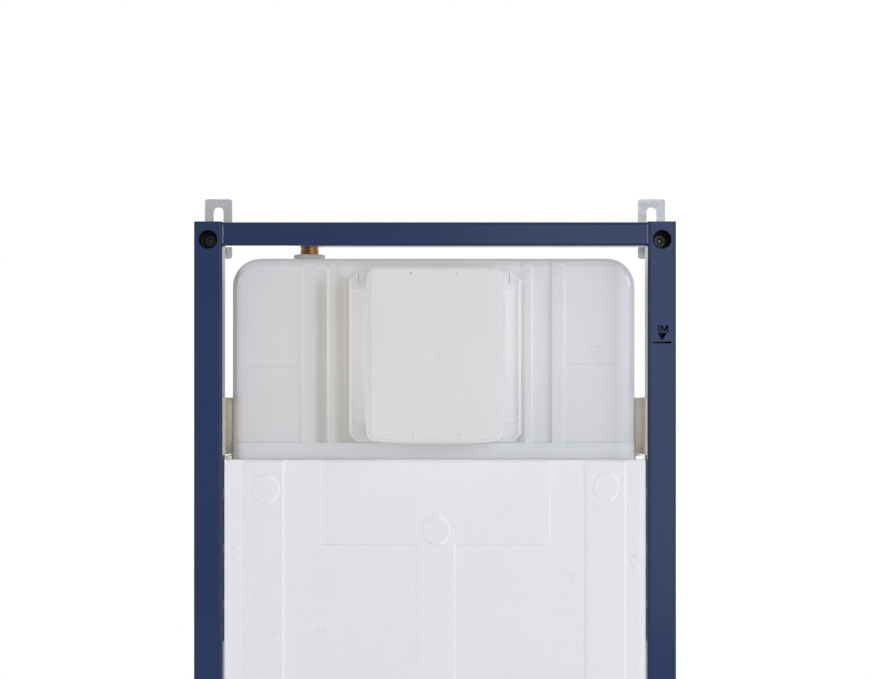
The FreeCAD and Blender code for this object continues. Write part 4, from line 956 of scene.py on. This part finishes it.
# Plug marks, as X, Z, radius and the surface they are in, and knocks, as X, Z, radius and depth.
PLUGS = ((-0.180, 0.8445, 0.0155, raised), (0.1817, 0.847, 0.0148, raised), (0.001, 0.801, 0.0157, raised),
         (-0.2109, 0.777, 0.0072, FOAM_FRONT), (0.2140, 0.768, 0.0072, FOAM_FRONT))
KNOCKS = ((0.0488, 0.8045, 0.006, 0.0004), (0.0329, 0.8406, 0.005, 0.0003), (-0.2216, 0.8752, 0.005, 0.0022))
for x, z, radius, surface in PLUGS:
    plug = [(0, 0.0005), (radius - 0.0015, 0.0005), (radius - 0.0009, 0.0012), (radius, 0.0010),
            (radius + 0.0003, -0.002), (0, -0.002)]
    carve(panel, turned("mould_plug", plug, (x, surface, z), (0, 1, 0), 48))
for x, z, radius, depth in KNOCKS:
    empty_hand()
    bpy.ops.mesh.primitive_ico_sphere_add(subdivisions=3, radius=radius,
                                          location=(x, raised + depth - radius, z))
    knock = bpy.context.object
    bpy.ops.object.transform_apply(location=True, rotation=False, scale=False)
    carve(panel, knock)
finish_piece(panel, foam, "frame", "foam", "insulation_panel", angle=12)


def on_slope(face):
    return abs(face.normal.x) > 0.15 and raised - 0.0005 < middle(face).y < FOAM_FRONT + 0.0004


def on_ring(face, sign):
    """Whether a face is in the ring of a plug mark, on one side of it."""
    spot = middle(face)
    return any(radius - 0.0016 < from_axis(face, x, z) < radius + 0.0006 and spot.y > surface + 0.0003
               and (spot.x - x) * sign > 0.2 * radius for x, z, radius, surface in PLUGS)


def on_plug(face):
    return any(from_axis(face, x, z) < radius - 0.0016 and middle(face).y > surface + 0.0003
               for x, z, radius, surface in PLUGS)


# Painted highlights and shade: the slopes that face right, the right-hand rims of the plug marks and some
# slopes that face left are painted lighter, the left-hand rims darker. The mould's plugs have left the beads
# open and rough.
HIGHLIGHT_TONES = {"dark": (247, 245, 247), "light": (249, 247, 249)}
slope_highlight = variant(foam, "bead_foam_slope_highlight", 1, **HIGHLIGHT_TONES)
coat_faces(panel, slope_highlight, lambda face: on_slope(face) and face.normal.x > 0 and abs(middle(face).x) < 0.21)
rim_shade = variant(foam, "bead_foam_rim_shade", 0.5, dark=(236, 235, 237), light=(239, 238, 240))
coat_faces(panel, rim_shade, lambda face: on_ring(face, -1))
lit_foam = variant(foam, "bead_foam_lit", 0.07, **HIGHLIGHT_TONES)
lit_glow = inputs_of(lit_foam)["Emission Color"]
lit_foam.node_tree.links.remove(lit_glow.links[0])
lit_glow.default_value = EVEN
coat_faces(panel, lit_foam, lambda face: on_ring(face, 1))
faint_highlight = variant(lit_foam, "bead_foam_faint_highlight", 0.03)
for x, edge_foam in ((STRIPS[0][0], faint_highlight), (-BAR_HALF, faint_highlight), (-STEM_HALF, slope_highlight),
                     (STRIPS[1][1], lit_foam)):
    coat_faces(panel, edge_foam, lambda face: on_slope(face) and abs(middle(face).x - x) < 0.005)
open_foam = variant(foam, "bead_foam_open", 1, dark=(241, 239, 240), light=(243, 241, 242))
open_foam.node_tree.nodes["Bump"].inputs["Distance"].default_value = 0.0003
open_foam.node_tree.nodes["Voronoi Texture"].inputs["Scale"].default_value = 620
coat_faces(panel, open_foam, lambda face: face.normal.y < -0.5 and on_plug(face))

# Flush pipe: a blow-moulded elbow from the cistern's outlet to the pan, with a ribbed coupling nut at the
# cistern and a black rubber cone in the fixing plate.
COUPLING_FACES, GRIP_DRAFT, GRIP_RISE = 60, 0.0004, 0.0011
flush_white = new_finish("flush_plastic", (205, 205, 205), (212, 212, 212), 0.08, (0.35, 0.45), dusty=0.15)
dress(flush_white, "flush_pipe")
low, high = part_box("flush_coupling")
centre = (low + high) / 2
empty_hand()
bpy.ops.mesh.primitive_cylinder_add(vertices=COUPLING_FACES, radius=(high.x - low.x) / 2 - 0.0012,
                                    depth=high.z - low.z, location=centre)
coupling = take("coupling_nut")
round_edges(lambda edge: run(edge, "z") < 1e-5, 0.002, 2)


def on_grip(face):
    spot = middle(face) - centre
    step = round(math.atan2(spot.y, spot.x) / math.tau * COUPLING_FACES - 0.5)
    return abs(face.normal.z) < 0.1 and step % 2 == 0


inset_faces(on_grip, GRIP_DRAFT, GRIP_RISE, apart=True)
finish_piece(coupling, flush_white, "frame", "flush_plastic", "flush_coupling", angle=25)
dress(rubber, "flush_grommet")

# Pan studs: zinc plated M12 studs clamped in the fixing plate by a nut on each side of it.
# The pan hangs on their threaded ends.
NUT_FRONT, NUT_BACK, STUD_NUT_TALL = -0.073, -0.059, 0.010
for side in ("left", "right"):
    low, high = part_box("stud_" + side)
    centre = (low + high) / 2
    radius = (high.x - low.x) / 2 - 0.0001
    stud_outline = [(0, low.y), (0.0048, low.y)]
    stud_outline += thread(low.y + 0.0012, high.y - 0.0006, radius, M12_PITCH)
    stud_outline += [(0.0048, high.y), (0, high.y)]
    stud = turned("threaded_stud_" + side, stud_outline, (centre.x, 0, centre.z), (0, 1, 0), 24)
    finish_piece(stud, zinc, "frame", "zinc_steel", "stud_" + side)
    for place, y, nodes in (("front", NUT_FRONT, ["stud_nuts_" + side]), ("back", NUT_BACK, [])):
        nut = hex_nut(f"stud_nut_{place}_{side}", (centre.x, y, centre.z), (0, 1, 0), M12_FLATS,
                      STUD_NUT_TALL, M12_BORE)
        finish_piece(nut, zinc, "frame", "zinc_steel", *nodes)

# Soil bend: a welded elbow of black plastic with a socket for the pan's outlet and a rubber ring in that.
# A steel clip with two screws hangs it from the fixing plate.
WASTE_HEIGHT = 0.220
SCREW_X, SCREW_Y, SCREW_Z = 0.013, -0.0730, 0.2985
SCREW_FLATS, SCREW_TALL = 0.010, 0.005
soil_black = new_finish("soil_plastic", (28, 28, 30), (36, 36, 38), 0.04, (0.38, 0.5), dusty=0.3)
dress(soil_black, "soil_bend")
seal_outline = [(0.0455, -0.0925), (0.0442, -0.0928), (0.0430, -0.0908), (0.0444, -0.0885), (0.0431, -0.0862),
                (0.0444, -0.0842), (0.0455, -0.0840), (0.0455, -0.0925)]
seal = turned("socket_seal", seal_outline, (0, 0, WASTE_HEIGHT), (0, 1, 0), 64)
finish_piece(seal, rubber, "frame", "rubber")
for side, sign in SIDES:
    screw = hex_nut("clip_screw_" + side, (sign * SCREW_X, SCREW_Y, SCREW_Z), (0, 1, 0), SCREW_FLATS,
                    SCREW_TALL, 0)
    finish_piece(screw, zinc, "frame", "zinc_steel")

# Legs: square tubes of zinc plated steel that telescope in the posts, each on a foot plate for the floor.
# A bolt through post and leg, with a nut on it, clamps them.
M10_FLATS, M10_BORE, M10_RADIUS, M10_PITCH = 0.017, 0.0048, 0.0049, 0.0015
HEAD_X, HEAD_TALL = 0.20975, 0.0065
SHANK_START, SHANK_END = 0.2105, 0.2270
for side, sign in SIDES:
    nut = "leg_nut_" + side
    finish_piece(nut_at(nut, (1, 0, 0), M10_FLATS, M10_BORE), zinc, "frame", "zinc_steel", nut)
    low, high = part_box("leg_bolt_" + side)
    centre = (low + high) / 2
    bolt = hex_nut("clamp_bolt_" + side, (sign * HEAD_X, centre.y, centre.z), (1, 0, 0), M10_FLATS,
                   HEAD_TALL, 0)
    shank = [(0, SHANK_START)] + thread(SHANK_START, SHANK_END, M10_RADIUS, M10_PITCH) + [(0, SHANK_END)]
    carve(bolt, turned("shank", shank, (0, centre.y, centre.z), (sign, 0, 0), 24), "UNION")
    finish_piece(bolt, zinc, "frame", "zinc_steel", "leg_bolt_" + side)

# Studio: a plain pale floor that fades into a white backdrop, a large soft light on each side in front,
# the right one stronger, one beside the camera and two behind. The camera is level with the cistern.
FRAME_WIDTH, FOCUS_PIXELS = 873, 2413
SHIFT_X, SHIFT_Y = 1.5, 64.5
SENSOR_WIDTH = 36


def seen_directly(tree):
    """How far a ray sees the backdrop itself: from the camera, in a reflection or through glass."""
    path = tree.nodes.new("ShaderNodeLightPath")
    total = path.outputs["Is Camera Ray"]
    for label in ("Is Glossy Ray", "Is Transmission Ray"):
        total = joined(tree, total, path.outputs[label], "MAXIMUM")
    return total


def show_either(tree, amount, first, second, output):
    """Show one shader or the other by an amount."""
    either = tree.nodes.new("ShaderNodeMixShader")
    for place, socket in enumerate((amount, first.outputs[0], second.outputs[0])):
        tree.links.new(socket, either.inputs[place])
    tree.links.new(either.outputs[0], tree.nodes[output].inputs["Surface"])


world = bpy.data.worlds.new("studio")
bpy.context.scene.world = world
world.use_nodes = True
sky = world.node_tree
ambient = sky.nodes["Background"]
ambient.inputs["Color"].default_value = (1.0, 0.99, 0.97, 1)
ambient.inputs["Strength"].default_value = 0.36
backdrop = sky.nodes.new("ShaderNodeBackground")
backdrop.inputs["Color"].default_value = EVEN
backdrop.inputs["Strength"].default_value = 1
show_either(sky, seen_directly(sky), ambient, backdrop, "World Output")

empty_hand()
bpy.ops.mesh.primitive_circle_add(vertices=64, radius=3.5, fill_type="NGON", location=(0, 0, 0))
floor = bpy.context.object
floor.name = "floor"
pale = bpy.data.materials.new("pale_floor")
pale.use_nodes = True
ground = pale.node_tree
inputs_of(pale)["Base Color"].default_value = shade(236, 236, 236)
inputs_of(pale)["Roughness"].default_value = 0.9
glow = ground.nodes.new("ShaderNodeEmission")
spot = ground.nodes.new("ShaderNodeTexCoord")
reach = ground.nodes.new("ShaderNodeVectorMath")
reach.operation = "LENGTH"
ground.links.new(spot.outputs["Object"], reach.inputs[0])
away = spread(ground, reach.outputs["Value"], 0.5, 1, 0.9, 2.6)
faded = joined(ground, away, seen_directly(ground))
show_either(ground, faded, ground.nodes["Principled BSDF"], glow, "Material Output")
floor.data.materials.append(pale)
floor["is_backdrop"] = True


def add_softbox(name, place, aim, width, height, power, colour):
    empty_hand()
    bpy.ops.object.light_add(type="AREA", location=place)
    lamp = bpy.context.object
    lamp.name = name
    lamp.data.shape = "RECTANGLE"
    lamp.data.size = width
    lamp.data.size_y = height
    lamp.data.energy = power
    lamp.data.color = colour
    lamp.rotation_euler = (Vector(aim) - Vector(place)).to_track_quat("-Z", "Y").to_euler()


add_softbox("softbox_right", (2.2, -1.9, 1.4), (0, 0, 0.9), 1.5, 2.2, 26, (0.88, 0.93, 1.0))
add_softbox("softbox_left", (-2.3, -1.9, 1.4), (0, 0, 0.9), 1.4, 2.0, 14, (1.0, 0.97, 0.92))
add_softbox("softbox_front", (0.62, -2.8, 1.15), (0, 0, 0.9), 1.1, 1.4, 17.5, (0.84, 0.90, 1.0))
add_softbox("softbox_behind", (-0.9, 2.4, 1.5), (0, 0, 0.8), 1.4, 1.6, 14, (1.0, 0.98, 0.96))
add_softbox("softbox_back", (1.7, 1.5, 1.3), (0.2, 0, 0.9), 0.9, 1.6, 10, (0.95, 0.97, 1.0))

bpy.ops.object.camera_add(location=(0.0, -2.620, 0.935), rotation=(math.radians(90), 0, 0))
camera = bpy.context.object
camera.data.sensor_width = SENSOR_WIDTH
camera.data.lens = FOCUS_PIXELS * SENSOR_WIDTH / FRAME_WIDTH
camera.data.shift_x = SHIFT_X / FRAME_WIDTH
camera.data.shift_y = SHIFT_Y / FRAME_WIDTH
bpy.context.scene.camera = camera
bpy.context.scene.view_settings.view_transform = "Standard"

low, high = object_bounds()
